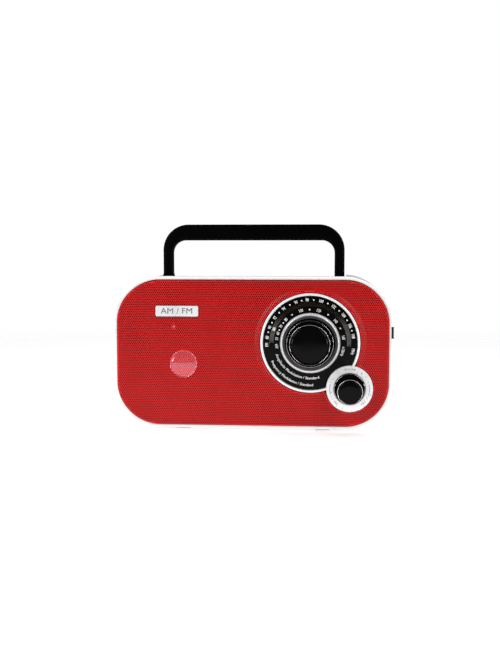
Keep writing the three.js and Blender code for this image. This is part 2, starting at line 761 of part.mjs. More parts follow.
// The two-pin mains inlet: a tub open to the back with a flange outside the rear wall.
function mainsInlet() {
  const { x, z } = INLET;
  const tub = plate(roundedRect(INLET_WIDTH, INLET_HEIGHT, 2, x, z), 59, INLET_BACK, 0, 3);
  const flange = plate(roundedRect(26, 15, 2.5, x, z), HOUSING_DEPTH + GAP, INLET_BACK, 0, 3);
  const hollow = plate(roundedRect(17.4, 8, 3.9, x, z), 61.5, INLET_BACK + 1, 0, 4);
  const pinProfile = [
    [0, 61.8],
    [1.2, 61.8],
    [1.2, 73.4],
    [0.8, 74],
    [0, 74],
  ];
  const pin = (across) => turned(pinProfile, { x: across, z }, 12);
  piece("mains_inlet", cut(join(tub, flange), hollow), "mattBlack");
  piece("inlet_pin_left", pin(x - PIN_SPACING / 2), "steel");
  piece("inlet_pin_right", pin(x + PIN_SPACING / 2), "steel");
}

// ---- Speaker and electronics ----

function speaker() {
  const rim = SPEAKER_RADIUS;
  const front = SPEAKER_FRONT;
  const basket = [
    [34.5, front],
    [rim, front],
    [rim, 6.3],
    [35.8, 6.3],
    [23, 25.5],
    [7, 25.5],
    [7, 24.3],
    [22.2, 24.3],
    [34.5, 6.3],
    [34.5, front],
  ];
  const cone = [
    [9, 20.2],
    [32.5, 6.2],
    [33.5, 5.6],
    [33.5, 6.4],
    [32.6, 7.1],
    [9, 21.2],
    [9, 20.2],
  ];
  const dustCap = [
    [0, 15.6],
    [5, 16.6],
    [8.6, 19.6],
    [8.6, 21],
    [0, 21],
  ];
  piece("speaker_frame", turned(basket, SPEAKER), "steel");
  piece("speaker_cone", turned(cone, SPEAKER), "paper");
  piece("speaker_dust_cap", turned(dustCap, SPEAKER, 20), "paper");
  piece("speaker_magnet", disc(21, 25.8, 36, SPEAKER), "ferrite");
}

function electronics() {
  const { d, z, radius } = FERRITE_ROD;
  const coil = [
    [radius + GAP, 20],
    [7, 20],
    [7, 42],
    [radius + GAP, 42],
    [radius + GAP, 20],
  ];
  piece("main_board", box([12, 31, 16], [96, 32.6, 112]), "board");
  piece("ferrite_rod", rodAlongX(radius, 8, 92, d, z, 16), "ferrite");
  piece("ferrite_coil", turnedAlongX(coil, d, z, 16), "copper");
  const core = box([55.5, 42, 14], [91.5, 58, 44]);
  const winding = box([61.5, 38, 19], [85.5, 62, 39]);
  piece("power_transformer", join(core, winding), "steel");
}

function bandSwitch() {
  const { d, z } = SWITCH;
  const half = SWITCH_LENGTH / 2;
  const knob = box([HALF_WIDTH - 3.4, d - 2.1, z - half], [HALF_WIDTH + SWITCH_PROUD, d + 2.1, z + half]);
  const body = box([103, d - 7, z - half - 4], [HALF_WIDTH - 3.7, d + 7, z + half + 1]);
  piece("band_switch_knob", knob, "mattBlack");
  piece("band_switch_body", body, "steel");
}

// ---- Assembly ----

piece("front_grille", frontGrille(), "red");
piece("front_bezel", frontBezel(), "white");
piece("front_baffle", frontBaffle(), "mattBlack");
piece("rear_housing", rearHousing(), "white");
frontTrim();
piece("dial_bezel", dialBezel(), "silver");
piece("dial_plate", dialPlate(), "black");
piece("dial_window", dialWindow(), "clear");
piece("pointer_disc", pointerDisc(), "mattBlack");
tuningKnob();
volumeKnob();
piece("handle", handle(), "black");
handlePins();
piece("antenna_base", antennaBase(), "chrome");
piece("antenna_section_1", antennaOuterSection(), "chrome");
piece("antenna_section_2", antennaTube(2.2, 11, 148), "chrome");
piece("antenna_section_3", antennaTube(1.6, 14, 150), "chrome");
piece("antenna_rod", antennaRod(), "chrome");
speaker();
electronics();
bandSwitch();
piece("battery_door", batteryDoor(), "white");
batteries();
mainsInlet();
rearScrews();
feet();

export default radio;
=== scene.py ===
import math

import bmesh
import bpy
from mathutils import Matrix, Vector

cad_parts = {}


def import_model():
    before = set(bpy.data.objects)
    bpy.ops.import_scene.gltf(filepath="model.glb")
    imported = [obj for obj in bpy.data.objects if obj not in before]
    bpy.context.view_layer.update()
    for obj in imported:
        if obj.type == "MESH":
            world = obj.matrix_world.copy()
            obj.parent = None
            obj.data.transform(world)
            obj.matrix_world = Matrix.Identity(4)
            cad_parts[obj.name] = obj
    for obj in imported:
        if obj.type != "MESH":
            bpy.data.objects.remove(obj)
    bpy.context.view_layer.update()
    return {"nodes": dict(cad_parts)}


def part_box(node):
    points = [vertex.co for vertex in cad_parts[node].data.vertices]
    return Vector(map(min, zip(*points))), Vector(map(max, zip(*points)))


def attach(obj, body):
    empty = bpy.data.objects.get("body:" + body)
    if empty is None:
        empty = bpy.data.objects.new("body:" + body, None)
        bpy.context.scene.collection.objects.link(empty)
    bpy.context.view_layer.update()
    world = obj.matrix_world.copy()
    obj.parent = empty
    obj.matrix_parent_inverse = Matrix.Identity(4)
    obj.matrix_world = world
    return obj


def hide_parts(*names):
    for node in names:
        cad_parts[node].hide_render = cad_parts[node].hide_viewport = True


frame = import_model()

# A portable AM/FM radio with a perforated red front, a round dial, a folding handle and a telescopic
# antenna. Sizes are in millimetres. A place is (x, d, z), where d is the distance behind the grille's face.

MM = 0.001
BEZEL_FRONT = 2.8
BEZEL_BACK = 10
BEZEL_EASE = 1.5
REAR_FRONT = 10.3
BACK = 75
BACK_EASE = 3
WALL = 2.5
GAP = 0.3


def corners(node):
    low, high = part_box(node)
    return low / MM, high / MM


def middle(node):
    low, high = corners(node)
    return (low.x + high.x) / 2, (low.z + high.z) / 2


HOUSING_LOW, HOUSING_HIGH = corners("front_bezel")
FACE = HOUSING_LOW.y - BEZEL_FRONT
WIDTH = HOUSING_HIGH.x - HOUSING_LOW.x
HEIGHT = HOUSING_HIGH.z - HOUSING_LOW.z
CENTRE = middle("front_bezel")
CORNER = 38

GRILLE_LOW, GRILLE_HIGH = corners("front_grille")
GRILLE_WIDTH = GRILLE_HIGH.x - GRILLE_LOW.x
GRILLE_HEIGHT = GRILLE_HIGH.z - GRILLE_LOW.z
GRILLE_CORNER = 36
GRILLE_LIP = 0.8
GRILLE_BACK = 2.5
HOLE_PITCH = 1.65
HOLE_ROW = HOLE_PITCH * math.sin(math.radians(60))
HOLE_RADIUS = 0.58
HOLE_SIDES = 8
HOLE_ROOM = 0.25
EDGE_ROOM = 0.35
SHEET = 0.5
SHEET_GAP = 0.7
GRILLE_SPLIT = -6
COLLAR_RADIUS = 46.5
COLLAR_SLOPE = 3.5
COLLAR_RISE = 1.2

DIAL = middle("tuning_knob_ring")
DIAL_RADIUS = 41.1
DIAL_RING = 2.05
DIAL_LEDGE = 2.35
DIAL_FRONT = -2.2
PLATE_FRONT = -0.8
PLATE_BACK = 0.8
WINDOW_RADIUS = 32
WINDOW_WIDTH = 3.5
WINDOW_HALF_ANGLE = 93
POINTER_ANGLE = -69.4
POINTER_ROOM = 0.7
POINTER_HALF_WIDTH = 1.5
POINTER_HALF_HEIGHT = 1.45
TUNING_FRONT = corners("tuning_knob")[0].y - FACE
TUNING_RADIUS = 20.3
TUNING_RING_RADIUS = 24.8
TUNING_RIBS = 72
RIB_HEIGHT = 0.1

VOLUME = middle("volume_knob_base")
VOLUME_DISC_RADIUS = 19.2
VOLUME_FRONT = corners("volume_knob_cap")[0].y - FACE
VOLUME_RADIUS = 13.3
VOLUME_SKIRT_FRONT = -4.2
BORE = 3.3

LENS = middle("clear_disc")
LENS_RADIUS = 11.5
LENS_FRONT = -1.9
DOME_RADIUS = 45
LED = middle("power_led")
LED_HOLE = 1.6
LED_BORE = 1.4
BADGE = middle("front_badge")
BADGE_FRONT = -1.4

FM_MARKS = [
    ("FM", -92.8), ("88", -83), ("90", -69.2), ("92", -54.7), ("94", -37.8), ("96", -19.3), ("98", -4.3),
    ("100", 14.4), ("102", 32.3), ("104", 49.6), ("106", 66), ("108", 80.2), ("MHz", 101),
]
FM_DOTS = [-75.7, -62.2, -45.8, -28.2, -11.5, 4.5, 23.7, 41.6, 57.8, 73.1]
AM_MARKS = [
    ("AM", -96), ("53", -83), ("60", -73.6), ("70", -60.6), ("80", -46.1), ("100", -16.3), ("120", 14.4),
    ("140", 48.5), ("160", 80), ("x10kHz", 104),
]
AM_DOTS = [-67.4, -53.3, -32.7, -1.1, 32, 63.5]
FM_RADIUS = 35.6
AM_RADIUS = 27.6
FM_SIZE = 3.7
AM_SIZE = 3.5
WORDS_SIZE = 3.0
DOT_SIZE = 0.6
INK_WEIGHT = 0.006
VOLUME_MARKS_RADIUS = 16.3
VOLUME_WORDS_SIZE = 2.3
VOLUME_DOTS = (-112, -70, -37, 37, 70, 112)

HANDLE_HIGH = corners("handle")[1]
HANDLE_HALF_WIDTH = HANDLE_HIGH.x
HANDLE_LEG = 8.3
HANDLE_BAR = 13.35
HANDLE_OUTER_RADIUS = 21.4
HANDLE_INNER_RADIUS = 10.6
HANDLE_THICKNESS = 8
PIVOT_D = 21.7
PIVOT_Z = 124
HUB_RADIUS = 8.5
HUB_ROOM = 0.6
HANDLE_EASE = 1.6
HUB_EASE = 0.9
PIN_HOLE = 1.8
PIN_END = 80.6

RECESS_HALF_WIDTH = 78.6
RECESS_FLOOR = 119.6
RECESS_FRONT = REAR_FRONT + WALL
STEP_FLOOR = 101.5
STEP_DEPTH = 68.6
EAR_OUTER = HANDLE_HALF_WIDTH - HANDLE_LEG - 1.1
EAR_INNER = EAR_OUTER - 4.4
EAR_RADIUS = 3.4
BAY_LEFT = -58
BAY_RIGHT = 50
BAY_LOW = 10
BAY_TOP = 64
BAY_FRONT = 44.5
BAY_WALL = 1.5
DOOR_D = 73.7
DOOR_Z = 11.3
DOOR_HALF_THICKNESS = 1
DOOR_PIN_RADIUS = 0.7
CELL_PITCH = 49.8
CELL_BUTTON_RADIUS = 3.2
SCREWS = [middle(f"rear_screw_{i}") for i in (1, 2, 3, 4)]
WELL_FLOOR = 67
WELL_RADIUS = 4
SHANK_HOLE = 1.8
SLOT_HALF_LENGTH = 1.9
SLOT_HALF_WIDTH = 0.38
INLET = middle("mains_inlet")
INLET_WIDTH = 20.6
INLET_HEIGHT = 11
INLET_BACK = 76.3
ANTENNA_X, ANTENNA_Z = middle("antenna_base")
ANTENNA_D = 73.2
BOSS_RADIUS = 5.8
BARREL_RADIUS = 2.8
BARREL_BORE = 2.5
SWITCH_LOW, SWITCH_HIGH = corners("band_switch_knob")
SWITCH_TEETH = 5
SWITCH_HALF_SLOT = 2.6
SWITCH_TRAVEL = 4
SWITCH_ROOM = 0.6
FAR = 200

FLOOR_FADE = 0.35
FLOOR_RADIUS = 1.1
FLOOR_GLOW = 0.36
WORLD_GLOW = 0.08
LIGHT_AIM = (0, 0, 0.08)
CAMERA_PLACE = (0.06415, -0.8, 0.15285)
CAMERA_DOWN = 4.546
CAMERA_LEFT = 4.678
CAMERA_LENS = 70.12


# ---- Mesh helpers ----


def point(place):
    x, d, z = place
    return Vector((x, FACE + d, z)) * MM


def linked(name, data):
    """A new object with the given data, in the scene."""
    obj = bpy.data.objects.new(name, data)
    bpy.context.scene.collection.objects.link(obj)
    return obj


def raw(name, places, faces, sheet=False):
    """An object with a mesh of the given places. A solid's faces turn outwards, a sheet's to the front."""
    mesh = bpy.data.meshes.new(name)
    mesh.from_pydata([point(place) for place in places], [], faces)
    work = bmesh.new()
    work.from_mesh(mesh)
    if not sheet:
        bmesh.ops.remove_doubles(work, verts=work.verts, dist=2e-7)
        bmesh.ops.dissolve_degenerate(work, edges=work.edges, dist=1e-7)
    bmesh.ops.recalc_face_normals(work, faces=work.faces)
    flat = max(work.faces, key=lambda face: abs(face.normal.y) * face.calc_area())
    if sheet and flat.normal.y > 0:
        bmesh.ops.reverse_faces(work, faces=work.faces)
    work.to_mesh(mesh)
    work.free()
    return linked(name, mesh)


def around(radius, steps, start=0.0):
    """Places (a, b) round a circle, from an angle in degrees."""
    turns = [math.radians(start) + 2 * math.pi * step / steps for step in range(steps)]
    return [(radius * math.cos(turn), radius * math.sin(turn)) for turn in turns]


def quarter(radius, steps):
    """Places (a, b) round the first quarter of a circle, both ends among them."""
    return around(radius, 4 * steps)[: steps + 1]


def behind(start, profile):
    """A profile whose second numbers are measured from a start."""
    return [(radius, start + far) for radius, far in profile]


def turned(name, profile, centre, steps=96):
    """A profile of (radius, d) turned about a line that runs through the centre (x, z) along the depth."""
    x, z = centre
    places = [(x + a, d, z + b) for radius, d in profile for a, b in around(radius, steps)]
    return raw(name, places, ring_faces(len(profile), steps))


def turned_along_x(name, profile, d, z, steps=48):
    """A profile of (radius, x) turned about a line that runs along X."""
    places = [(x, d + a, z + b) for radius, x in profile for a, b in around(radius, steps)]
    return raw(name, places, ring_faces(len(profile), steps))


def ring_faces(rings, steps, caps=False):
    """Four-sided faces between rings of the same number of places, one after another."""
    faces = []
    for ring in range(rings - 1):
        for step in range(steps):
            after = (step + 1) % steps
            here = ring * steps
            there = here + steps
            faces.append((here + step, here + after, there + after, there + step))
    if caps:
        faces.append(tuple(range(steps)))
        faces.append(tuple(range((rings - 1) * steps, rings * steps)))
    return faces


def rounded(profile, radius, steps=4):
    """The profile with each corner between its ends taken round a curve of about that radius."""
    result = [tuple(profile[0])]
    for before, corner, after in zip(profile, profile[1:], profile[2:]):
        before, corner, after = Vector(before), Vector(corner), Vector(after)
        reach = min(radius, (before - corner).length * 0.45, (after - corner).length * 0.45)
        start = corner + (before - corner).normalized() * reach
        end = corner + (after - corner).normalized() * reach
        for step in range(steps + 1):
            t = step / steps
            spot = start * (1 - t) ** 2 + corner * 2 * t * (1 - t) + end * t**2
            result.append(tuple(spot))
    result.append(tuple(profile[-1]))
    return result


def eased_bar(radius, start, end, ease, steps=4):
    """The profile of a round bar with eased edges."""
    return rounded([(0, start), (radius, start), (radius, end), (0, end)], ease, steps)


def outline(width, height, radius, centre, steps=20):
    """Places (x, z) of a rounded rectangle, anticlockwise."""
    x, z = centre
    result = []
    for turn, (side_x, side_z) in enumerate(((1, -1), (1, 1), (-1, 1), (-1, -1))):
        middle_x = x + side_x * (width / 2 - radius)
        middle_z = z + side_z * (height / 2 - radius)
        for step in range(steps + 1):
            angle = math.radians(90 * (turn - 1 + step / steps))
            result.append((middle_x + radius * math.cos(angle), middle_z + radius * math.sin(angle)))
    return result


def lofted(name, width, height, radius, centre, profile, steps=20, caps=True):
    """Rounded rectangles set in by each profile point's first number, at the depth that is its second."""
    places = []
    for inset, d in profile:
        inner = max(radius - inset, 0.05)
        for x, z in outline(width - 2 * inset, height - 2 * inset, inner, centre, steps):
            places.append((x, d, z))
    return raw(name, places, ring_faces(len(profile), 4 * (steps + 1), caps))


def block(low, high, name="block"):
    """A plain box between two places, for cutting and joining."""
    places = [(x, d, z) for x in (low[0], high[0]) for d in (low[1], high[1]) for z in (low[2], high[2])]
    faces = [(0, 1, 3, 2), (4, 6, 7, 5), (0, 4, 5, 1), (2, 3, 7, 6), (0, 2, 6, 4), (1, 5, 7, 3)]
    return raw(name, places, faces)


def disc(radius, d0, d1, centre, steps=64):
    """A plain round bar that runs along the depth."""
    return turned("disc", [(0, d0), (radius, d0), (radius, d1), (0, d1)], centre, steps)


def rod(radius, x0, x1, d, z, steps=32):
    """A plain round bar that runs along X."""
    return turned_along_x("rod", [(0, x0), (radius, x0), (radius, x1), (0, x1)], d, z, steps)


def upright(radius, x, d, z0, z1, steps=40):
    """A plain round bar that runs along Z."""
    places = [(x + a, d + b, z) for z in (z0, z1) for a, b in around(radius, steps)]
    return raw("upright", places, ring_faces(2, steps, True))


def applied(obj):
    """Replaces the object's mesh by what its modifiers make of it."""
    bpy.context.view_layer.update()
    evaluated = obj.evaluated_get(bpy.context.evaluated_depsgraph_get())
    mesh = bpy.data.meshes.new_from_object(evaluated)
    old = obj.data
    obj.modifiers.clear()
    obj.data = mesh
    bpy.data.meshes.remove(old)
    return obj


def combined(obj, operation, tools):
    """The object after an exact DIFFERENCE or UNION with each tool in turn; the tools are used up."""
    for tool in tools:
        modifier = obj.modifiers.new("boolean", "BOOLEAN")
        modifier.operation = operation
        modifier.solver = "EXACT"
        modifier.object = tool
        applied(obj)
        bpy.data.objects.remove(tool)
    return obj


def cut(obj, *tools):
    """The object with each tool taken away from it."""
    return combined(obj, "DIFFERENCE", tools)


def join(obj, *tools):
    """The object with each tool made one with it."""
    return combined(obj, "UNION", tools)


def edges_eased(obj, width, angle=40, segments=2):
    """Rounds the sharp edges that cutting left."""
    modifier = obj.modifiers.new("ease", "BEVEL")
    modifier.width = width * MM
    modifier.segments = segments
    modifier.limit_method = "ANGLE"
    modifier.angle_limit = math.radians(angle)
    modifier.use_clamp_overlap = True
    return applied(obj)


def finished(obj, name, finish, body, nodes=(), sharp=32):
    """Names the piece, gives it its finish, and ties it to its body and to the nodes it stands for."""
    obj.name = name
    obj.data.name = name
    obj.data.materials.clear()
    obj.data.materials.append(finish)
    obj.data.shade_smooth()
    obj.data.set_sharp_from_angle(angle=math.radians(sharp))
    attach(obj, body)
    if nodes:
        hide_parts(*nodes)
    return obj


# ---- Materials ----


def set_values(target, values):
    for name, value in values.items():
        target.inputs[name].default_value = value


def node(tree, kind, values=None, links=None):
    """A shader node, with some inputs set to plain values and some linked from other nodes."""
    made = tree.nodes.new("ShaderNode" + kind)
    set_values(made, values or {})
    for name, source in (links or {}).items():
        tree.links.new(source, made.inputs[name])
    return made


def grey(level):
    return (level, level, level)


def surface(name, colour, roughness, metallic=0.0, specular=0.5):
    """A material with a plain principled shader, and its tree and shader to build on."""
    material = bpy.data.materials.new(name)
    material.use_nodes = True
    tree = material.node_tree
    shader = tree.nodes["Principled BSDF"]
    values = {"Base Color": (*colour, 1), "Roughness": roughness, "Metallic": metallic}
    set_values(shader, values | {"Specular IOR Level": specular})
    return material, tree, shader


def place_of(tree, scale=(1, 1, 1)):
    """The object's own coordinates, stretched by scale."""
    source = node(tree, "TexCoord").outputs["Object"]
    return node(tree, "Mapping", {"Scale": scale}, {"Vector": source}).outputs["Vector"]


def height_of(tree, axis="Z"):
    """One of the object's own three coordinates."""
    return node(tree, "SeparateXYZ", links={"Vector": place_of(tree)}).outputs[axis]


def noise(tree, scale, detail=3.0, stretch=(1, 1, 1)):
    values = {"Scale": scale, "Detail": detail}
    return node(tree, "TexNoise", values, {"Vector": place_of(tree, stretch)}).outputs["Fac"]


def spread(tree, value, low, high):
    """Maps the middle of a noise's range onto low to high."""
    values = {"From Min": 0.3, "From Max": 0.7, "To Min": low, "To Max": high}
    return node(tree, "MapRange", values, {"Value": value}).outputs["Result"]


def eased(tree, value, start, end, low=0.0, high=1.0):
    """Goes smoothly from low to high as the value goes from start to end."""
    values = {"From Min": start, "From Max": end, "To Min": low, "To Max": high}
    made = node(tree, "MapRange", values, {"Value": value})
    made.interpolation_type = "SMOOTHSTEP"
    return made.outputs["Result"]


def tinted(tree, shader, value, first, second, start=0.3, end=0.7):
    """Colours the surface from a first to a second colour as the value goes from start to end."""
    ramp = node(tree, "ValToRGB", links={"Fac": value})
    low, high = ramp.color_ramp.elements
    low.position = start
    high.position = end
    low.color = (*first, 1)
    high.color = (*second, 1)
    tree.links.new(ramp.outputs["Color"], shader.inputs["Base Color"])
    return ramp.color_ramp


def bumped(tree, shader, value, strength, distance):
    values = {"Strength": strength, "Distance": distance * MM}
    bump = node(tree, "Bump", values, {"Height": value})
    tree.links.new(bump.outputs["Normal"], shader.inputs["Normal"])


def moulded(name, colour, shade, roughness, grain, relief, metallic=0.0, specular=0.5):
    """Moulded plastic or paint: two close colours, a slightly uneven gloss and a fine grain."""
    material, tree, shader = surface(name, colour, roughness, metallic, specular)
    tinted(tree, shader, noise(tree, 45), colour, shade)
    gloss = spread(tree, noise(tree, 300, 4), roughness * 0.94, roughness * 1.08)
    tree.links.new(gloss, shader.inputs["Roughness"])
    bumped(tree, shader, noise(tree, grain, 2), 0.35, relief)
    return material


def polished(name, colour, roughness, brush=(1, 1, 1), scale=400):
    """Plated or bright metal, with faint marks stretched along the brush direction."""
    material, tree, shader = surface(name, colour, roughness, 1.0)
    marks = noise(tree, scale, 4, brush)
    tree.links.new(spread(tree, marks, roughness * 0.7, roughness * 1.5), shader.inputs["Roughness"])
    tinted(tree, shader, noise(tree, 60), colour, tuple(part * 0.93 for part in colour))
    bumped(tree, shader, marks, 0.15, 0.004)
    return material


def clear(name, tint, gloss, roughness=0.03):
    """Thin clear plastic: what lies behind shows through under a share of mirror gloss."""
    material, tree, shader = surface(name, gloss, roughness, 1.0)
    polish = spread(tree, noise(tree, 200), roughness * 0.8, roughness * 1.3)
    tree.links.new(polish, shader.inputs["Roughness"])
    through = node(tree, "BsdfTransparent", {"Color": (*tint, 1)})
    both = node(tree, "AddShader")
    tree.links.new(through.outputs["BSDF"], both.inputs[0])
    tree.links.new(shader.outputs["BSDF"], both.inputs[1])
    tree.links.new(both.outputs["Shader"], tree.nodes["Material Output"].inputs["Surface"])
    return material


def window_backing_painted_reflection():
    """The pointer disc's face: black over the top of the dial, grey towards the window's ends as a painted
    reflection that turns with the disc.
    """
    black = (0.014, 0.010, 0.007)
    painted_reflection_grey = grey(0.15)
    material, tree, shader = surface("pointer_face", black, 0.35, specular=0.05)
    # Painted reflection: the face goes grey lower down on the disc, by its own height.
    share = eased(tree, height_of(tree), (DIAL[1] + 24) * MM, (DIAL[1] + 8) * MM)
    tinted(tree, shader, share, black, painted_reflection_grey, 0, 1)
    bumped(tree, shader, noise(tree, 700), 0.2, 0.01)
    return material


def jacket():
    """A battery's printed sleeve: a blue tube with a gold band near its plus end, repeated per cell."""
    blue = (0.02, 0.07, 0.26)
    gold = (0.75, 0.5, 0.16)
    length = CELL_PITCH * MM
    material, tree, shader = surface("battery_sleeve", blue, 0.28, 0.6)
    along = height_of(tree, "X")
    for operation, amount in (("ADD", 10 * length - 0.0038), ("MODULO", length), ("DIVIDE", length)):
        step = node(tree, "Math", {1: amount}, {0: along})
        step.operation = operation
        along = step.outputs["Value"]
    tinted(tree, shader, along, blue, gold, 0, 0.68).interpolation = "CONSTANT"
    bumped(tree, shader, noise(tree, 500), 0.1, 0.01)
    return material


RED = moulded("red_paint", (0.58, 0.009, 0.009), (0.52, 0.007, 0.007), 0.36, 1500, 0.01, specular=0.3)
# A darker copy of the grille's red paint, for its rolled rim: painted shade on the edge.
RED_PAINTED_SHADE_EDGE = moulded(
    "red_paint_painted_shade_edge", (0.26, 0.006, 0.006), (0.22, 0.005, 0.005), 0.4, 1500, 0.01, specular=0.2
)
WHITE = moulded("white_plastic", (0.86, 0.86, 0.85), (0.82, 0.82, 0.81), 0.3, 900, 0.012)
INNER = moulded(
    "inner_plastic_black", (0.006, 0.002, 0.002), (0.009, 0.003, 0.003), 0.8, 700, 0.03, specular=0.1
)
SILVER = moulded(
    "silver_coating", (0.86, 0.86, 0.87), (0.82, 0.82, 0.83), 0.28, 1400, 0.006, metallic=0.32
)
BADGE_SILVER = moulded(
    "badge_silver", (0.70, 0.71, 0.73), (0.62, 0.63, 0.65), 0.35, 1400, 0.006, metallic=0.15
)
DIAL_BLACK = moulded("dial_black", grey(0.0015), grey(0.002), 0.16, 900, 0.004, specular=0.07)
KNOB_BLACK = moulded("knob_black", grey(0.0015), grey(0.002), 0.08, 500, 0.001, specular=0.08)
FLANK_BLACK = moulded("knob_gloss", grey(0.0015), grey(0.002), 0.25, 500, 0.0005, specular=0.0)
HANDLE_BLACK = moulded("handle_black", grey(0.0006), grey(0.001), 0.3, 1300, 0.015, specular=0.035)
SWITCH_BLACK = moulded("switch_black", grey(0.004), grey(0.007), 0.5, 1200, 0.02, specular=0.2)
PAD = moulded("foot_pad", (0.78, 0.78, 0.76), (0.70, 0.70, 0.68), 0.7, 500, 0.05)
PAPER = moulded("speaker_paper", grey(0.04), (0.07, 0.065, 0.06), 0.85, 350, 0.15)
FERRITE = moulded("ferrite", (0.05, 0.05, 0.055), (0.08, 0.08, 0.085), 0.55, 300, 0.08)
MILKY = moulded("milky_plastic", (0.62, 0.62, 0.57), (0.55, 0.55, 0.5), 0.35, 400, 0.02)
BOARD = moulded("circuit_board", (0.04, 0.19, 0.07), (0.03, 0.14, 0.05), 0.4, 250, 0.06)
COPPER = moulded("copper_wire", (0.5, 0.18, 0.07), (0.4, 0.12, 0.05), 0.35, 1600, 0.1, metallic=0.7)
IRON = moulded("laminated_iron", (0.2, 0.2, 0.21), (0.13, 0.13, 0.14), 0.5, 900, 0.1, metallic=0.6)
INK_WHITE = moulded("white_print", (0.88, 0.88, 0.86), (0.8, 0.8, 0.78), 0.5, 1500, 0.003)
INK_GREY = moulded("grey_print", (0.08, 0.08, 0.085), (0.11, 0.11, 0.115), 0.5, 1500, 0.003)
MARK_WHITE = moulded("pointer_white", (0.9, 0.9, 0.88), (0.84, 0.84, 0.82), 0.4, 900, 0.006)
LED_PINK = moulded("led_lens", (0.62, 0.1, 0.1), (0.56, 0.08, 0.08), 0.3, 400, 0.01)
SATIN_CHROME = moulded(
    "satin_chrome", (0.84, 0.84, 0.85), (0.8, 0.8, 0.81), 0.2, 600, 0.0002, metallic=0.45
)
KNURL_CHROME = moulded(
    "knurl_chrome", (0.3, 0.3, 0.31), (0.24, 0.24, 0.25), 0.22, 600, 0.0002, metallic=0.7
)
BEAD_CHROME = moulded("bead_chrome", (0.5, 0.5, 0.51), (0.46, 0.46, 0.47), 0.1, 400, 0.0002, metallic=1.0)
ANTENNA_CHROME = polished("antenna_chrome", (0.6, 0.6, 0.61), 0.12, (0.05, 1, 1), 900)
STEEL = polished("zinc_steel", (0.6, 0.6, 0.62), 0.34)
LENS_CLEAR = clear("emblem_plastic", (0.98, 0.9, 0.9), (0.1, 0.056, 0.066))
WINDOW_CLEAR = clear("window_plastic", (0.97, 0.96, 0.95), grey(0.008))
# The pointer disc's face, with a painted reflection towards the window's ends.
POINTER_FACE_PAINTED_REFLECTION = window_backing_painted_reflection()
SLEEVE = jacket()


# ---- Front ----


def collar_rise(x, z):
    """How far the metal stands forward of the grille's face, in the pressed collar round the dial."""
    reach = math.hypot(x - DIAL[0], z - DIAL[1])
    t = min(max((COLLAR_RADIUS - reach) / COLLAR_SLOPE, 0), 1)
    return COLLAR_RISE * t * t * (3 - 2 * t)


def room(x, z):
    """The distance from a place on the grille to the nearest edge of its metal, negative outside."""
    width = GRILLE_WIDTH / 2 - GRILLE_LIP
    height = GRILLE_HEIGHT / 2 - GRILLE_LIP
    radius = GRILLE_CORNER - GRILLE_LIP
    across = abs(x - CENTRE[0]) - (width - radius)
    up = abs(z - CENTRE[1]) - (height - radius)
    rim = radius - math.hypot(max(across, 0), max(up, 0)) - min(max(across, up), 0)
    dial = math.hypot(x - DIAL[0], z - DIAL[1]) - DIAL_RADIUS - SHEET_GAP
    volume = math.hypot(x - VOLUME[0], z - VOLUME[1]) - VOLUME_DISC_RADIUS - SHEET_GAP
    led = math.hypot(x - LED[0], z - LED[1]) - LED_HOLE
    return min(rim, dial, volume, led)


def to_edge(x, z):
    """The nearest place on an edge of the metal."""
    small = 0.01
    for _ in range(3):
        distance = room(x, z)
        slope_x = (room(x + small, z) - room(x - small, z)) / (2 * small)
        slope_z = (room(x, z + small) - room(x, z - small)) / (2 * small)
        steep = math.hypot(slope_x, slope_z) or 1
        x -= distance * slope_x / steep
        z -= distance * slope_z / steep
    return x, z


def between_polygons(outer, inner):
    """Triangles between two nested polygons, each corner as (0, outer place) or (1, inner place)."""
    faces = []
    i = j = 0
    while i < outer or j < inner:
        if j >= inner or (i < outer and (i + 1) / outer <= (j + 1) / inner):
            faces.append(((0, i % outer), (0, (i + 1) % outer), (1, j % inner)))
            i += 1
        else:
            faces.append(((1, (j + 1) % inner), (1, j % inner), (0, i % outer)))
            j += 1
    return faces


class Sheet:
    """Perforated metal as it is gathered: six-sided cells that share corners, each with a round hole."""

    SIXTHS = ((0, 2), (-1, 1), (-1, -1), (0, -2), (1, -1), (1, 1))
    PATTERN = between_polygons(6, HOLE_SIDES)

    def __init__(self):
        self.cells = []
        self.uses = {}
        self.known = {}
        self.places = []
        self.faces = []
        for row in range(-50, 51):
            for column in range(-75, 76):
                self.find_cell(row, column)

    def find_cell(self, row, column):
        """Keeps a cell whose middle lies on the metal, and counts the cells at each corner."""
        x = CENTRE[0] + (column + 0.5 * (row % 2)) * HOLE_PITCH
        z = CENTRE[1] + row * HOLE_ROW
        if room(x, z) < EDGE_ROOM:
            return
        keys = [(2 * column + row % 2 + a, 3 * row + b) for a, b in self.SIXTHS]
        for key in keys:
            self.uses[key] = self.uses.get(key, 0) + 1
        self.cells.append((x, z, keys))

    def spot(self, x, z, depth=0.0):
        self.places.append((x, depth - collar_rise(x, z), z))
        return len(self.places) - 1

    def corner(self, key):
        """A cell's corner, moved to the metal's edge where a neighbour is missing."""
        if key not in self.known:
            x = CENTRE[0] + key[0] * HOLE_PITCH / 2
            z = CENTRE[1] + key[1] * HOLE_ROW / 3
            if self.uses[key] < 3:
                x, z = to_edge(x, z)
            self.known[key] = self.spot(x, z)
        return self.known[key]

    def add_cell(self, x, z, keys):
        outer = [self.corner(key) for key in keys]
        if room(x, z) < HOLE_RADIUS + HOLE_ROOM:
            self.faces.append(tuple(outer))
            return
        inner = []
        back = []
        for across, up in around(HOLE_RADIUS, HOLE_SIDES, 90):
            inner.append(self.spot(x + across, z + up))
            back.append(self.spot(x + across, z + up, SHEET))
        rings = (outer, inner)
        self.faces.extend(tuple(rings[ring][index] for ring, index in face) for face in self.PATTERN)
        for side in range(HOLE_SIDES):
            after = (side + 1) % HOLE_SIDES
            self.faces.append((inner[side], inner[after], back[after], back[side]))


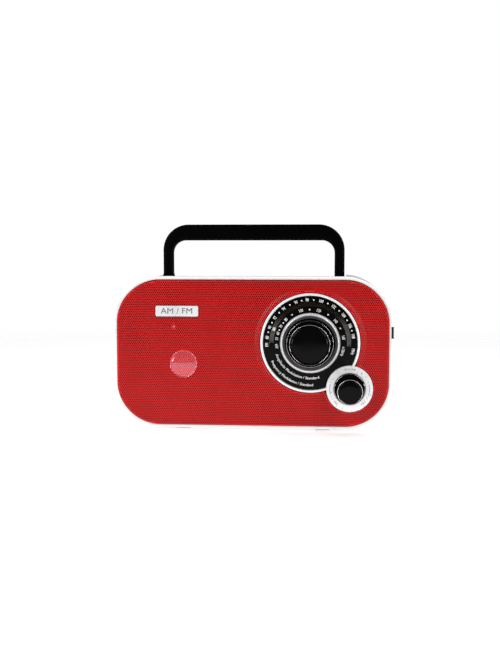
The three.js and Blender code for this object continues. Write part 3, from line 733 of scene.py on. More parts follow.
def perforated_sheet(name, left, right):
    """The perforated metal between two values of X."""
    sheet = Sheet()
    for x, z, keys in sheet.cells:
        if left <= x < right:
            sheet.add_cell(x, z, keys)
    return raw(name, sheet.places, sheet.faces, True)


def grille():
    halves = (("grille_speaker_side", -FAR, GRILLE_SPLIT), ("grille_dial_side", GRILLE_SPLIT, FAR))
    for name, left, right in halves:
        half = perforated_sheet(name, left, right)
        finished(half, name, RED, "housing", ["front_grille"], 40)
    lip = [
        (1.1, 0.1), (GRILLE_LIP, 0), (0.45, 0.1), (0.12, 0.4), (0, 0.85),
        (0, GRILLE_BACK), (1.1, GRILLE_BACK), (1.1, 0.1),
    ]
    rim = lofted("rim", GRILLE_WIDTH, GRILLE_HEIGHT, GRILLE_CORNER, CENTRE, lip, 28, False)
    # Painted shade: the rim is finished in a darker copy of the grille's red.
    finished(rim, "grille_rim", RED_PAINTED_SHADE_EDGE, "housing", ["front_grille"], 50)


def through(radius, centre, steps=64):
    """A bar that cuts right through the front's thin parts."""
    return disc(radius, -5, 5, centre, steps)


def grille_shade_sheet():
    """A black board that lies behind the perforated metal: a sheet of painted shade that darkens what shows
    through the holes.
    """
    profile = [(2, 1.5), (2, 1.9)]
    backing = lofted("backing", GRILLE_WIDTH, GRILLE_HEIGHT, GRILLE_CORNER, CENTRE, profile, 16)
    cut(
        backing,
        through(DIAL_RADIUS + GAP, DIAL, 96),
        through(VOLUME_DISC_RADIUS + GAP, VOLUME, 96),
        through(LED_BORE, LED, 24),
    )
    finished(backing, "grille_shade_sheet", INNER, "housing")


def bezel():
    front = rounded([(0, BEZEL_BACK), (0, BEZEL_FRONT), (WALL, BEZEL_FRONT)], BEZEL_EASE, 6)
    back = [(WALL, BEZEL_BACK), (0, BEZEL_BACK)]
    ring = lofted("bezel", WIDTH, HEIGHT, CORNER, CENTRE, front + back, 28, False)
    finished(ring, "bezel", WHITE, "housing", ["front_bezel"])


def badge():
    low, high = corners("front_badge")
    profile = [(0, -GAP), (0, -1.0), (0.12, -1.25), (0.4, -1.38), (0.9, BADGE_FRONT)]
    plate = lofted("badge", high.x - low.x, high.z - low.z, 1.2, BADGE, profile, 8)
    finished(plate, "badge", BADGE_SILVER, "housing", ["front_badge"], 50)
    words = Printing()
    words.straight("AM / FM", 6.8, BADGE, BADGE_FRONT, 1.12)
    finished(words.made("words"), "badge_lettering", INK_GREY, "housing")


def clear_disc():
    """The clear round emblem, with a shallow dome and a fine groove round it."""
    profile = []
    for step in range(13):
        radius = 10.6 * step / 12
        profile.append((radius, LENS_FRONT + radius * radius / (2 * DOME_RADIUS)))
    profile += [
        (10.9, -0.75), (11.2, -0.9), (LENS_RADIUS - 0.1, -0.8), (LENS_RADIUS, -0.6),
        (LENS_RADIUS, -GAP), (0, -GAP),
    ]
    lens = turned("lens", profile, LENS)
    finished(lens, "clear_emblem", LENS_CLEAR, "housing", ["clear_disc"], 50)


def power_light():
    profile = [(0, -0.8), (0.4, -0.76), (0.8, -0.6), (1.1, -0.3), (1.2, 0), (1.2, 2.2), (0, 2.2)]
    dome = turned("led", profile, LED, 32)
    finished(dome, "power_light", LED_PINK, "housing", ["power_led"])


# ---- Printing ----


def polar(centre, radius, turn, d):
    """The place at a radius and an angle, in radians clockwise from the top."""
    return centre[0] + radius * math.sin(turn), d, centre[1] + radius * math.cos(turn)


class Printing:
    """Thin raised letters, dots and strokes gathered into one mesh."""

    INK = 0.04

    def __init__(self, weight=0.0):
        self.weight = weight
        self.places = []
        self.faces = []

    def add(self, places, faces):
        start = len(self.places)
        self.places.extend(places)
        self.faces.extend(tuple(start + index for index in face) for face in faces)

    def letters(self, words, size, narrow):
        curve = bpy.data.curves.new("letters", "FONT")
        curve.body = words
        curve.size = size
        curve.align_x = "CENTER"
        curve.align_y = "CENTER"
        curve.extrude = self.INK / 2
        curve.offset = size * self.weight
        curve.resolution_u = 2
        obj = linked("letters", curve)
        bpy.context.view_layer.update()
        evaluated = obj.evaluated_get(bpy.context.evaluated_depsgraph_get())
        mesh = bpy.data.meshes.new_from_object(evaluated)
        places = [(vertex.co.x * narrow, vertex.co.y, vertex.co.z) for vertex in mesh.vertices]
        faces = [tuple(face.vertices) for face in mesh.polygons]
        bpy.data.meshes.remove(mesh)
        bpy.data.objects.remove(obj)
        bpy.data.curves.remove(curve)
        return places, faces

    def straight(self, words, size, centre, d, narrow=1.0):
        places, faces = self.letters(words, size, narrow)
        x0, z0 = centre
        self.add([(x0 + x, d - self.INK / 2 - up, z0 + y) for x, y, up in places], faces)

    def on_arc(self, words, size, centre, radius, angle, d, outward=True, narrow=0.72):
        """Words whose middle is at an angle clockwise from the top, with their tops outward or inward."""
        places, faces = self.letters(words, size, narrow)
        way = 1 if outward else -1
        bent = []
        for x, y, up in places:
            turn = math.radians(angle) + way * x / radius
            bent.append(polar(centre, radius + way * y, turn, d - self.INK / 2 - up))
        self.add(bent, faces)

    def dot(self, centre, radius, angle, size, d, steps=12):
        x, _, z = polar(centre, radius, math.radians(angle), d)
        rim = around(size, steps)
        places = [(x + a, depth, z + b) for depth in (d - self.INK, d) for a, b in rim]
        self.add(places, ring_faces(2, steps, True))

    def stroke(self, centre, radius, width, start, end, d, steps=12):
        """A curved stroke between two angles clockwise from the top."""
        places = []
        for step in range(steps + 1):
            turn = math.radians(start + (end - start) * step / steps)
            for reach, depth in ((-0.5, -self.INK), (0.5, -self.INK), (0.5, 0), (-0.5, 0)):
                places.append(polar(centre, radius + reach * width, turn, d + depth))
        self.add(places, ring_faces(steps + 1, 4, True))

    def made(self, name):
        return raw(name, self.places, self.faces)


def dial_scale():
    scale = Printing(INK_WEIGHT)
    rings = ((FM_MARKS, FM_DOTS, FM_SIZE, FM_RADIUS), (AM_MARKS, AM_DOTS, AM_SIZE, AM_RADIUS))
    for marks, dots, size, radius in rings:
        for words, angle in marks:
            scale.on_arc(words, size, DIAL, radius, angle, PLATE_FRONT)
        for angle in dots:
            scale.dot(DIAL, radius, angle, DOT_SIZE, PLATE_FRONT)
    lines = (
        ("Frequency Modulation / Standard", 34.9, -150, 1.04),
        ("Amplitude Modulation / Standard", 29.2, -152, 1.09),
    )
    for words, radius, angle, narrow in lines:
        scale.on_arc(words, WORDS_SIZE, DIAL, radius, angle, PLATE_FRONT, False, narrow)
    finished(scale.made("scale"), "dial_scale", INK_WHITE, "housing")


def volume_scale():
    scale = Printing()
    radius = VOLUME_MARKS_RADIUS
    labels = (("VOLUME", 0, True, 1.1), ("MIN", -136, False, 0.9), ("MAX", 136, False, 0.9))
    for words, angle, outward, narrow in labels:
        scale.on_arc(words, VOLUME_WORDS_SIZE, VOLUME, radius, angle, DIAL_FRONT, outward, narrow)
    for angle in VOLUME_DOTS:
        scale.dot(VOLUME, radius, angle, 0.34, DIAL_FRONT)
    for start, end in ((-106, -76), (76, 106)):
        scale.stroke(VOLUME, radius, 0.35, start, end, DIAL_FRONT)
    finished(scale.made("scale"), "volume_scale", INK_GREY, "housing")


# ---- Dial and knobs ----


def dial_spot(radius, degrees):
    """The place (x, z) at a radius and an angle clockwise from the top of the dial."""
    x, _, z = polar(DIAL, radius, math.radians(degrees), 0)
    return x, z


def band_end(half, degrees, way, steps=8):
    """Places (x, z) round one end of the window's band."""
    x, z = dial_spot(WINDOW_RADIUS, degrees)
    start = 90 - degrees if way > 0 else 270 - degrees
    turns = [math.radians(start - way * 180 * step / steps) for step in range(1, steps)]
    return [(x + half * math.cos(turn), z + half * math.sin(turn)) for turn in turns]


def window_band(width, d0, d1, name="band", steps=72):
    """A band of the dial with round ends, closed, between two depths."""
    half = width / 2
    end = WINDOW_HALF_ANGLE
    turns = [-end + 2 * end * step / steps for step in range(steps + 1)]
    path = [dial_spot(WINDOW_RADIUS + half, turn) for turn in turns]
    path += band_end(half, end, 1)
    path += [dial_spot(WINDOW_RADIUS - half, turn) for turn in reversed(turns)]
    path += band_end(half, -end, -1)
    places = [(x, d, z) for d in (d0, d1) for x, z in path]
    return raw(name, places, ring_faces(2, len(path), True))


def dial():
    inner = DIAL_RADIUS - DIAL_RING
    ledge = inner - DIAL_LEDGE
    shelf = PLATE_BACK + GAP
    crown = [(inner, shelf), (inner, DIAL_FRONT), (DIAL_RADIUS, DIAL_FRONT), (DIAL_RADIUS, 1)]
    tail = [(DIAL_RADIUS, GRILLE_BACK), (ledge, GRILLE_BACK), (ledge, shelf), (inner, shelf)]
    hoop = turned("hoop", rounded(crown, 0.7, 5) + tail, DIAL, 144)
    edge = eased_bar(VOLUME_DISC_RADIUS, DIAL_FRONT - 0.02, PLATE_BACK, 0.5)
    join(hoop, turned("volume_disc", edge, VOLUME, 128))
    cut(hoop, through(BORE, VOLUME))
    finished(hoop, "dial_surround", SILVER, "housing", ["dial_bezel"])
    plate = turned("plate", eased_bar(inner - GAP, PLATE_FRONT, PLATE_BACK, 0.2, 2), DIAL, 144)
    window = window_band(WINDOW_WIDTH, -5, 5)
    cut(plate, through(VOLUME_DISC_RADIUS + GAP, VOLUME, 96), through(BORE, DIAL), window)
    finished(plate, "dial_face", DIAL_BLACK, "housing", ["dial_plate"])
    glass = window_band(WINDOW_WIDTH - 2 * GAP, -0.5, 0.5, "glass")
    finished(glass, "dial_glass", WINDOW_CLEAR, "housing", ["dial_window"])


def pointer():
    """The disc behind the dial's window, and the white mark on it that shows the station."""
    front = PLATE_BACK + POINTER_ROOM
    back = front + 0.8
    radius = DIAL_RADIUS - DIAL_RING - DIAL_LEDGE - 0.5
    profile = [(BORE, front), (radius, front), (radius, back), (BORE, back), (BORE, front)]
    face = turned("face", profile, DIAL)
    finished(face, "pointer_face", POINTER_FACE_PAINTED_REFLECTION, "tuning_control", ["pointer_disc"])
    places = []
    for depth in (PLATE_BACK, front - 0.02):
        for across, out in ((-1, -1), (1, -1), (1, 1), (-1, 1)):
            reach = WINDOW_RADIUS + out * POINTER_HALF_HEIGHT
            turn = math.radians(POINTER_ANGLE) + across * POINTER_HALF_WIDTH / reach
            places.append(polar(DIAL, reach, turn, depth))
    mark = raw("mark", places, ring_faces(2, 4, True))
    edges_eased(mark, 0.15)
    finished(mark, "pointer_mark", MARK_WHITE, "tuning_control")


def knurl():
    """The ribbed slope between the tuning knob and its bright ring."""
    base = PLATE_FRONT - GAP
    steps = 4 * TUNING_RIBS
    slope = [
        (20.6, base, 0), (20.6, -2.9, 0), (20.8, -3.0, RIB_HEIGHT), (21.5, -3.35, RIB_HEIGHT),
        (22.3, -3.75, RIB_HEIGHT), (22.55, -3.8, 0), (22.55, base, 0), (20.6, base, 0),
    ]
    places = []
    for radius, d, rib in slope:
        for step in range(steps):
            turn = 2 * math.pi * step / steps
            reach = radius + rib * math.cos(TUNING_RIBS * turn)
            places.append((DIAL[0] + reach * math.cos(turn), d, DIAL[1] + reach * math.sin(turn)))
    ribbed = raw("knurl", places, ring_faces(len(slope), steps))
    finished(ribbed, "tuning_knurl", KNURL_CHROME, "tuning_control", ["tuning_knob_ring"], 50)


def knob_flank(kind, centre, steps, profile):
    """A knob's dull black sides."""
    flank = turned("flank", profile, centre, steps)
    finished(flank, f"{kind}_body", FLANK_BLACK, f"{kind}_control", [f"{kind}_knob"], 40)


def knob_cap(kind, centre, steps, profile):
    """A knob's glossy black cap."""
    cap = turned("cap", profile, centre, steps)
    finished(cap, f"{kind}_cap", KNOB_BLACK, f"{kind}_control", [f"{kind}_knob_cap"], 40)


def knob_wires(kind, centre, steps, rings):
    """Thin bright wires laid round a knob, each ring given as (radius, d, thickness)."""
    wires = []
    for radius, d, thickness in rings:
        section = [(radius + a, d + b) for a, b in around(thickness, 12)]
        wires.append(turned("wire", section + section[:1], centre, steps))
    finished(join(*wires), f"{kind}_trim", BEAD_CHROME, f"{kind}_control", (), 50)


def tuning_knob():
    base = PLATE_FRONT - GAP
    front = TUNING_FRONT
    outer = TUNING_RING_RADIUS
    rise = rounded([(22.6, -3.9), (22.8, -4.4), (23.5, -4.35), (outer, -2.7), (outer, base)], 0.5, 5)
    ring = turned("ring", rise + [(22.6, base), (22.6, -3.9)], DIAL, 192)
    finished(ring, "tuning_ring", SATIN_CHROME, "tuning_control", ["tuning_knob_ring"], 50)
    knurl()
    crown = [
        (0, 1.8), (15.6, 1.8), (15.6, 0.7), (15.9, 0.15), (16.3, 0), (16.9, 0.2), (17.3, 0.9),
        (17.7, 3), (18.3, 6), (18.8, 9),
    ]
    foot = [(19.3, -6.5), (19.9, -5), (20.2, -3.5), (TUNING_RADIUS, base), (BORE, base)]
    bore = [(BORE, front + 5), (0, front + 5)]
    knob_flank("tuning", DIAL, 144, behind(front, crown) + foot + bore)
    cap = [(0, 0), (5, 0.03), (10, 0.14), (13.4, 0.38), (14.7, 0.62), (15.15, 0.95), (15.2, 1.5), (0, 1.5)]
    knob_cap("tuning", DIAL, 128, behind(front, cap))
    knob_wires("tuning", DIAL, 144, ((16.3, front + 0.42, 0.41), (18.95, front + 9.3, 0.28)))


def volume_knob():
    base = DIAL_FRONT - GAP
    front = VOLUME_FRONT
    low, radius = VOLUME_SKIRT_FRONT, VOLUME_RADIUS
    edge = rounded([(BORE, base), (BORE, low), (radius, low), (radius, base), (BORE, base)], 0.5)
    skirt = turned("skirt", edge, VOLUME)
    finished(skirt, "volume_skirt", FLANK_BLACK, "volume_control", ["volume_knob_base"])
    crown = [
        (0, 1.4), (9.5, 1.4), (9.6, 1.2), (9.8, 1.15), (10.2, 1.5), (10.4, 2.2), (10.7, 4),
        (11.3, 8), (11.9, 12),
    ]
    foot = [(12.4, -6.4), (12.6, -4.8), (12.6, -4.5), (BORE, -4.5), (BORE, front + 5), (0, front + 5)]
    knob_flank("volume", VOLUME, 128, behind(front, crown) + foot)
    knob_wires("volume", VOLUME, 128, ((12.45, -5.0, 0.42), (10, front + 1.45, 0.32)))
    cap = [(0, 0), (4, 0.04), (7.2, 0.16), (8.6, 0.35), (9.2, 0.62), (9.4, 0.85), (9.4, 1.1), (0, 1.1)]
    knob_cap("volume", VOLUME, 96, behind(front, cap))


# ---- Housing ----


def recess_room(front, wall=0.0):
    """The room for the handle's bar when it is folded away, and for a wall round it."""
    reach = RECESS_HALF_WIDTH + wall
    return block((-reach, front, RECESS_FLOOR - wall), (reach, FAR, FAR))


def leg_rooms(front, wall=0.0):
    """The room for the handle's two legs and their hubs, and for a wall round them."""
    inner = HANDLE_HALF_WIDTH - HANDLE_LEG - HUB_ROOM - wall
    outer = HANDLE_HALF_WIDTH + HUB_ROOM + wall
    pocket = HUB_RADIUS + HUB_ROOM + wall
    deep = PIVOT_D + pocket
    low = PIVOT_Z - pocket
    return [
        block((inner, front, low), (outer, deep, FAR)),
        block((-outer, front, low), (-inner, deep, FAR)),
    ]


def back_rooms(step_wall=0.0, bay_wall=0.0):
    """The room for the antenna and for the batteries, and for walls round them."""
    return [
        block((-FAR, STEP_DEPTH - step_wall, STEP_FLOOR - step_wall), (FAR, FAR, FAR)),
        block(
            (BAY_LEFT - bay_wall, BAY_FRONT - bay_wall, BAY_LOW - bay_wall),
            (BAY_RIGHT + bay_wall, FAR, BAY_TOP + bay_wall),
        ),
    ]


def hollow():
    """The space inside the rear shell, with a wall left round every opening."""
    size = (WIDTH - 2 * WALL, HEIGHT - 2 * WALL, CORNER - WALL)
    return cut(
        lofted("inside", *size, CENTRE, [(0, 0), (0, BACK - WALL)], 24),
        recess_room(-5, WALL),
        *leg_rooms(-5, WALL),
        *back_rooms(WALL, BAY_WALL),
        *[disc(WELL_RADIUS + WALL, WELL_FLOOR - WALL, FAR, place, 48) for place in SCREWS],
    )


def ears():
    """The two ears inside the recess that hold the inner ends of the handle's pins."""
    made = []
    for x0, x1 in ((EAR_INNER, EAR_OUTER), (-EAR_OUTER, -EAR_INNER)):
        stem = block((x0, PIVOT_D - EAR_RADIUS, RECESS_FLOOR - 1), (x1, PIVOT_D + EAR_RADIUS, PIVOT_Z))
        made.append(join(stem, rod(EAR_RADIUS, x0, x1, PIVOT_D, PIVOT_Z, 40)))
    return made


def switch_slot():
    """The opening in the right side that the band switch's knob slides along."""
    d = (SWITCH_LOW.y + SWITCH_HIGH.y) / 2 - FACE
    side = HOUSING_HIGH.x
    return block(
        (side - 5, d - SWITCH_HALF_SLOT, SWITCH_LOW.z - SWITCH_TRAVEL - SWITCH_ROOM),
        (side + 5, d + SWITCH_HALF_SLOT, SWITCH_HIGH.z + SWITCH_ROOM),
    )


def rear_shell():
    edge = [(BACK_EASE - a, BACK - BACK_EASE + b) for a, b in quarter(BACK_EASE, 8)]
    shell = lofted("shell", WIDTH, HEIGHT, CORNER, CENTRE, [(0, REAR_FRONT)] + edge, 28)
    cut(shell, hollow(), recess_room(RECESS_FRONT), *back_rooms())
    join(shell, *ears())
    cut(
        shell,
        *leg_rooms(RECESS_FRONT),
        rod(PIN_HOLE, EAR_INNER - 1, PIN_END + 1, PIVOT_D, PIVOT_Z),
        rod(PIN_HOLE, -PIN_END - 1, 1 - EAR_INNER, PIVOT_D, PIVOT_Z),
        switch_slot(),
        lofted("inlet", INLET_WIDTH + 2 * GAP, INLET_HEIGHT + 2 * GAP, 2, INLET, [(0, 60), (0, 80)], 8),
        rod(DOOR_HALF_THICKNESS, BAY_LEFT - 2.4, BAY_RIGHT + 2.4, DOOR_D, DOOR_Z),
        *[disc(WELL_RADIUS, WELL_FLOOR, FAR, place, 48) for place in SCREWS],
        *[disc(SHANK_HOLE, 50, FAR, place, 32) for place in SCREWS],
    )
    edges_eased(shell, 0.3)
    finished(shell, "rear_shell", WHITE, "housing", ["rear_housing"])


def screws():
    """Four screws with crossed slots."""
    seat = WELL_FLOOR + GAP
    profile = behind(seat, [
        (0, -14), (1.5, -13), (1.5, 0), (3, 0), (3, 0.9), (2.7, 1.5), (2, 2), (1, 2.18), (0, 2.2),
    ])
    crossed = ((SLOT_HALF_LENGTH, SLOT_HALF_WIDTH), (SLOT_HALF_WIDTH, SLOT_HALF_LENGTH))
    for number, (x, z) in enumerate(SCREWS, 1):
        slots = [block((x - a, seat + 1, z - b), (x + a, seat + 3, z + b)) for a, b in crossed]
        screw = cut(turned("screw", profile, (x, z), 40), *slots)
        name = f"rear_screw_head_{number}"
        finished(screw, name, STEEL, "housing", [f"rear_screw_{number}"])


def feet():
    for number in (1, 2, 3, 4):
        low, high = corners(f"foot_{number}")
        size = high - low
        centre = ((low.x + high.x) / 2, (low.y + high.y) / 2)
        places = []
        for inset, z in ((0, high.z), (0, 0.5), (0.15, 0.15), (0.5, 0)):
            rim = outline(size.x - 2 * inset, size.y - 2 * inset, 2.4 - inset, centre, 8)
            places.extend((x, y - FACE, z) for x, y in rim)
        pad = raw("pad", places, ring_faces(4, 36, True))
        finished(pad, f"foot_pad_{number}", PAD, "housing", [f"foot_{number}"], 50)


# ---- Handle ----


def bend(half, top, radius, start, end, way, steps=24):
    """One corner of the handle's outline, as (x, z, outward x, outward z)."""
    side = 1 if start + end < 180 else -1
    result = []
    for step in range(steps + 1):
        turn = math.radians(start + (end - start) * step / steps)
        across, up = math.cos(turn), math.sin(turn)
        x = side * (half - radius) + radius * across
        result.append((x, top - radius + radius * up, way * across, way * up))
    return result


def bail_rim():
    """The handle's outline, from its right leg round the top and back inside."""
    outer = HANDLE_HALF_WIDTH
    inner = outer - HANDLE_LEG
    top = HANDLE_HIGH.z
    under = top - HANDLE_BAR
    return [
        (outer, PIVOT_Z, 1, 0),
        *bend(outer, top, HANDLE_OUTER_RADIUS, 0, 90, 1),
        *bend(outer, top, HANDLE_OUTER_RADIUS, 90, 180, 1),
        (-outer, PIVOT_Z, -1, 0),
        (-inner, PIVOT_Z, 1, 0),
        *bend(inner, under, HANDLE_INNER_RADIUS, 180, 90, -1),
        *bend(inner, under, HANDLE_INNER_RADIUS, 90, 0, -1),
        (inner, PIVOT_Z, -1, 0),
    ]


def handle():
    front = PIVOT_D - HANDLE_THICKNESS / 2
    rim = bail_rim()
    profile = [(HANDLE_EASE - b, front + HANDLE_EASE - a) for a, b in quarter(HANDLE_EASE, 6)]
    profile += [(inset, 2 * PIVOT_D - d) for inset, d in reversed(profile)]
    places = []
    for inset, d in profile:
        places.extend((x - inset * across, d, z - inset * up) for x, z, across, up in rim)
    bail = raw("bail", places, ring_faces(len(profile), len(rim), True))
    hub = eased_bar(HUB_RADIUS, HANDLE_HALF_WIDTH - HANDLE_LEG, HANDLE_HALF_WIDTH, HUB_EASE, 5)
    other = [(radius, -x) for radius, x in hub]
    join(bail, *[turned_along_x("hub", side, PIVOT_D, PIVOT_Z, 64) for side in (hub, other)])
    cut(bail, rod(PIN_HOLE, -FAR, FAR, PIVOT_D, PIVOT_Z))
    finished(bail, "carry_handle", HANDLE_BLACK, "carrying_handle", ["handle"], 40)


# ---- Back ----


def battery_cover():
    left = BAY_LEFT + GAP
    right = BAY_RIGHT - GAP
    top = BAY_TOP - GAP
    front = DOOR_D - DOOR_HALF_THICKNESS
    back = DOOR_D + DOOR_HALF_THICKNESS
    middle_x = (left + right) / 2
    door = block((left, front, DOOR_Z), (right, back, top))
    grooves = [block((left + 8, back - 0.5, z), (right - 8, back + 1, z + 1)) for z in (17, 20, 23)]
    dish = behind(back, [(0, -1.2), (5, -1.1), (7.5, -0.4), (8.5, 0.5), (0, 0.5)])
    cut(door, *grooves, turned("dish", dish, (middle_x, top - 12), 64))
    join(
        door,
        rod(DOOR_HALF_THICKNESS, left, right, DOOR_D, DOOR_Z, 32),
        rod(DOOR_PIN_RADIUS, BAY_LEFT - 2, BAY_RIGHT + 2, DOOR_D, DOOR_Z, 24),
        *[rod(0.45, middle_x - 5, middle_x + 5, back - 0.9, top - low, 12) for low in (15, 12.4, 9.8)],
    )
    edges_eased(door, 0.15)
    finished(door, "battery_cover", WHITE, "battery_cover", ["battery_door"])


def batteries():
    for number in (1, 2, 3, 4):
        node_name = f"battery_cell_{number}"
        low, high = corners(node_name)
        radius = (high.z - low.z) / 2
        d = (low.y + high.y) / 2 - FACE
        z = (low.z + high.z) / 2
        start = [(0, 0.4), (radius - 2, 0.4), (radius - 1.6, 0), (radius - 0.6, 0), (radius, 0.5)]
        end = [(radius, -2.1), (radius - 0.6, -1.6), (radius - 1.8, -1.6), (radius - 2.2, -2), (0, -2)]
        sleeve = turned_along_x("sleeve", behind(low.x, start) + behind(high.x, end), d, z, 64)
        finished(sleeve, f"cell_sleeve_{number}", SLEEVE, "housing", [node_name])
        nub = turned_along_x("nub", eased_bar(CELL_BUTTON_RADIUS, high.x - 2, high.x, 0.5), d, z, 32)
        finished(nub, f"cell_contact_{number}", STEEL, "housing")


def mains_inlet():
    tub = lofted("tub", INLET_WIDTH, INLET_HEIGHT, 2, INLET, [(0, 59), (0, INLET_BACK)], 8)
    edge = [(0, BACK + GAP), (0, INLET_BACK - 0.4), (0.12, INLET_BACK - 0.12), (0.4, INLET_BACK)]
    join(tub, lofted("flange", 26, 15, 2.5, INLET, edge, 10))
    cut(tub, lofted("hollow", 17.4, 8, 3.9, INLET, [(0, 61.5), (0, INLET_BACK + 1)], 16))
    finished(tub, "inlet_body", SWITCH_BLACK, "housing", ["mains_inlet"])
    profile = [(0, 61.8), (1.2, 61.8), (1.2, 73.2), (1.1, 73.6), (0.7, 74), (0, 74)]
    for side in ("left", "right"):
        node_name = f"inlet_pin_{side}"
        pin = turned("pin", profile, middle(node_name), 32)
        finished(pin, f"inlet_contact_{side}", STEEL, "housing", [node_name])


def antenna_piece(obj, name, body, node_name):
    finished(obj, name, ANTENNA_CHROME, body, [node_name])


def antenna_foot():
    """The swivel that turns in the back, and the widest tube, which folds about the swivel's pin."""
    x, d, z = ANTENNA_X, ANTENNA_D, ANTENNA_Z
    swivel = turned("swivel", eased_bar(BOSS_RADIUS, STEP_DEPTH + 0.4, d + 2.7, 0.5), (x, z), 64)
    cut(swivel, block((x - 2.9, d - 2.6, z - 1.5), (x + 20, d + 20, z + 1.5)))
    join(swivel, upright(0.9, x, d, z - 3.5, z + 3.5))
    antenna_piece(swivel, "antenna_swivel_boss", "antenna_swivel", "antenna_base")
    barrel = [
        (0, 6.2), (2.6, 6.2), (BARREL_RADIUS, 6.5), (BARREL_RADIUS, 145.8), (2.7, 146),
        (BARREL_BORE, 146), (BARREL_BORE, 10), (0, 10),
    ]
    outer = turned_along_x("outer", behind(x, barrel), d, z, 48)
    tongue = block((x, d - 2.2, z - 1.2), (x + 7.2, d + 2.2, z + 1.2))
    join(outer, tongue, upright(2.2, x, d, z - 1.2, z + 1.2))
    cut(outer, upright(1.2, x, d, z - 5, z + 5))
    antenna_piece(outer, "antenna_barrel", "antenna_outer", "antenna_section_1")


def antenna():
    antenna_foot()
    d, z = ANTENNA_D, ANTENNA_Z
    sections = (("antenna_section_2", "antenna_second"), ("antenna_section_3", "antenna_third"))
    for node_name, body in sections:
        low, high = corners(node_name)
        radius = (high.z - low.z) / 2
        tube = [
            (0, low.x), (radius, low.x), (radius, high.x - 0.15), (radius - 0.1, high.x),
            (radius - 0.3, high.x), (radius - 0.3, low.x + 2), (0, low.x + 2),
        ]
        antenna_piece(turned_along_x("tube", tube, d, z, 40), f"{body}_tube", body, node_name)
    tip = behind(ANTENNA_X, [
        (0, 17), (1, 17), (1, 151), (2.0, 151), (2.3, 151.3), (2.9, 152.2),
        (2.9, 157.8), (2.6, 158.8), (1.8, 159.4), (0, 159.5),
    ])
    antenna_piece(turned_along_x("tip", tip, d, z, 40), "antenna_tip", "antenna_inner", "antenna_rod")


def band_switch():
    low, high = SWITCH_LOW, SWITCH_HIGH
    front = low.y - FACE
    back = high.y - FACE
    knob = block((low.x, front, low.z), (high.x, back, high.z))
    step = (high.z - low.z) / (SWITCH_TEETH + 1)
    middles = [low.z + step * (tooth + 1) for tooth in range(SWITCH_TEETH)]
    grooves = [block((high.x - 0.7, front - 1, z - 0.35), (high.x + 1, back + 1, z + 0.35)) for z in middles]
    cut(knob, *grooves)
    edges_eased(knob, 0.15)
    finished(knob, "band_slider", SWITCH_BLACK, "band_switch", ["band_switch_knob"])


# ---- Pieces that keep their CAD shape ----

KEPT = {
    "front_baffle": INNER,
    "tuning_shaft": STEEL,
    "volume_shaft": STEEL,
    "volume_pot": STEEL,
    "tuning_capacitor": MILKY,
    "handle_pin_left": STEEL,
    "handle_pin_right": STEEL,
    "battery_contact_left": STEEL,
    "battery_contact_right": STEEL,
    "speaker_frame": STEEL,
    "speaker_cone": PAPER,
    "speaker_dust_cap": PAPER,
    "speaker_magnet": FERRITE,
    "main_board": BOARD,
    "ferrite_rod": FERRITE,
    "ferrite_coil": COPPER,
    "power_transformer": IRON,
    "band_switch_body": STEEL,
}


def kept_parts():
    for name, finish in KEPT.items():
        for slot in frame["nodes"][name].material_slots:
            slot.material = finish


# ---- Studio ----


def floor_white():
    """A matt white that fades away with distance, so that the floor has no edge."""
    material, tree, shader = surface("floor_white", grey(0.9), 0.9, specular=0.1)
    tinted(tree, shader, noise(tree, 3), grey(0.9), grey(0.89))
    set_values(shader, {"Emission Color": (1, 1, 1, 1), "Emission Strength": FLOOR_GLOW})
    reach = node(tree, "VectorMath", links={0: place_of(tree)})
    reach.operation = "LENGTH"
    fade = eased(tree, reach.outputs["Value"], FLOOR_FADE, FLOOR_RADIUS, 1.0, 0.0)
    tree.links.new(fade, shader.inputs["Alpha"])
    return material


def floor(steps=96):
    mesh = bpy.data.meshes.new("floor")
    mesh.from_pydata([(x, y, 0) for x, y in around(FLOOR_RADIUS, steps)], [], [tuple(range(steps))])
    mesh.materials.append(floor_white())
    linked("floor", mesh)


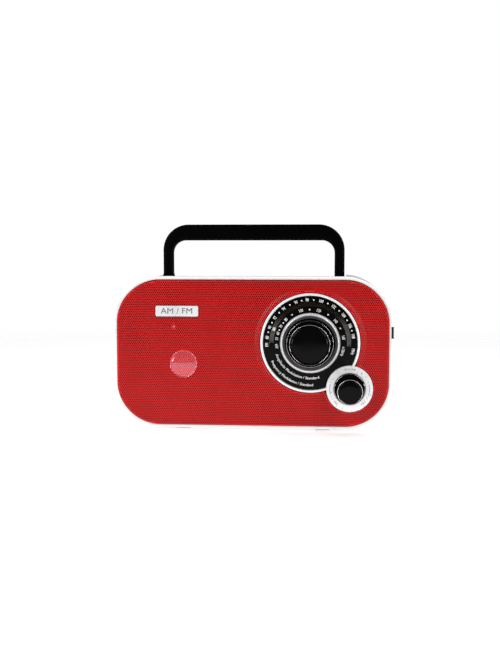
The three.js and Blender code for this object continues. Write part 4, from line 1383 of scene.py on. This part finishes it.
def area_light(name, place, target, size, energy):
    light = bpy.data.lights.new(name, "AREA")
    light.shape = "RECTANGLE"
    light.size, light.size_y = size
    light.energy = energy
    obj = linked(name, light)
    obj.location = place
    obj.rotation_euler = (Vector(target) - Vector(place)).to_track_quat("-Z", "Y").to_euler()
    return obj


def lights():
    """Two soft boxes on each side in front, and a wide one overhead that the gloss doesn't show."""
    for name, side, energy in (("left", -1, 14), ("right", 1, 11)):
        area_light(f"key_{name}", (1.1 * side, -1.2, 0.95), LIGHT_AIM, (0.7, 0.9), energy)
        area_light(f"low_{name}", (0.9 * side, -1.0, 0.12), LIGHT_AIM, (0.5, 0.22), 3)
    top = area_light("top", (0, 0.1, 1.6), (0, 0.05, 0), (1.6, 1.2), 18)
    top.visible_glossy = False
    world()


def world():
    """White to look at, and dim as a light, so that the gloss of black parts stays deep."""
    made = bpy.data.worlds.new("studio")
    made.use_nodes = True
    tree = made.node_tree
    background = tree.nodes["Background"]
    background.inputs["Color"].default_value = (1, 1, 1, 1)
    seen = node(tree, "LightPath").outputs["Is Camera Ray"]
    level = node(tree, "MapRange", {"To Min": WORLD_GLOW, "To Max": 1.0}, {"Value": seen})
    tree.links.new(level.outputs["Result"], background.inputs["Strength"])
    bpy.context.scene.world = made
    bpy.context.scene.view_settings.view_transform = "Standard"


def camera():
    made = bpy.data.cameras.new("camera")
    made.sensor_fit = "HORIZONTAL"
    made.sensor_width = 36
    made.lens = CAMERA_LENS
    made.clip_end = 30
    obj = linked("camera", made)
    x, y, z = CAMERA_PLACE
    obj.location = (x, FACE * MM + y, z)
    obj.rotation_euler = (math.radians(90 - CAMERA_DOWN), 0, math.radians(CAMERA_LEFT))
    bpy.context.scene.camera = obj


camera()
grille()
grille_shade_sheet()
bezel()
badge()
clear_disc()
power_light()
dial_scale()
volume_scale()
dial()
pointer()
tuning_knob()
volume_knob()
rear_shell()
screws()
feet()
handle()
battery_cover()
batteries()
mains_inlet()
antenna()
band_switch()
kept_parts()
floor()
lights()
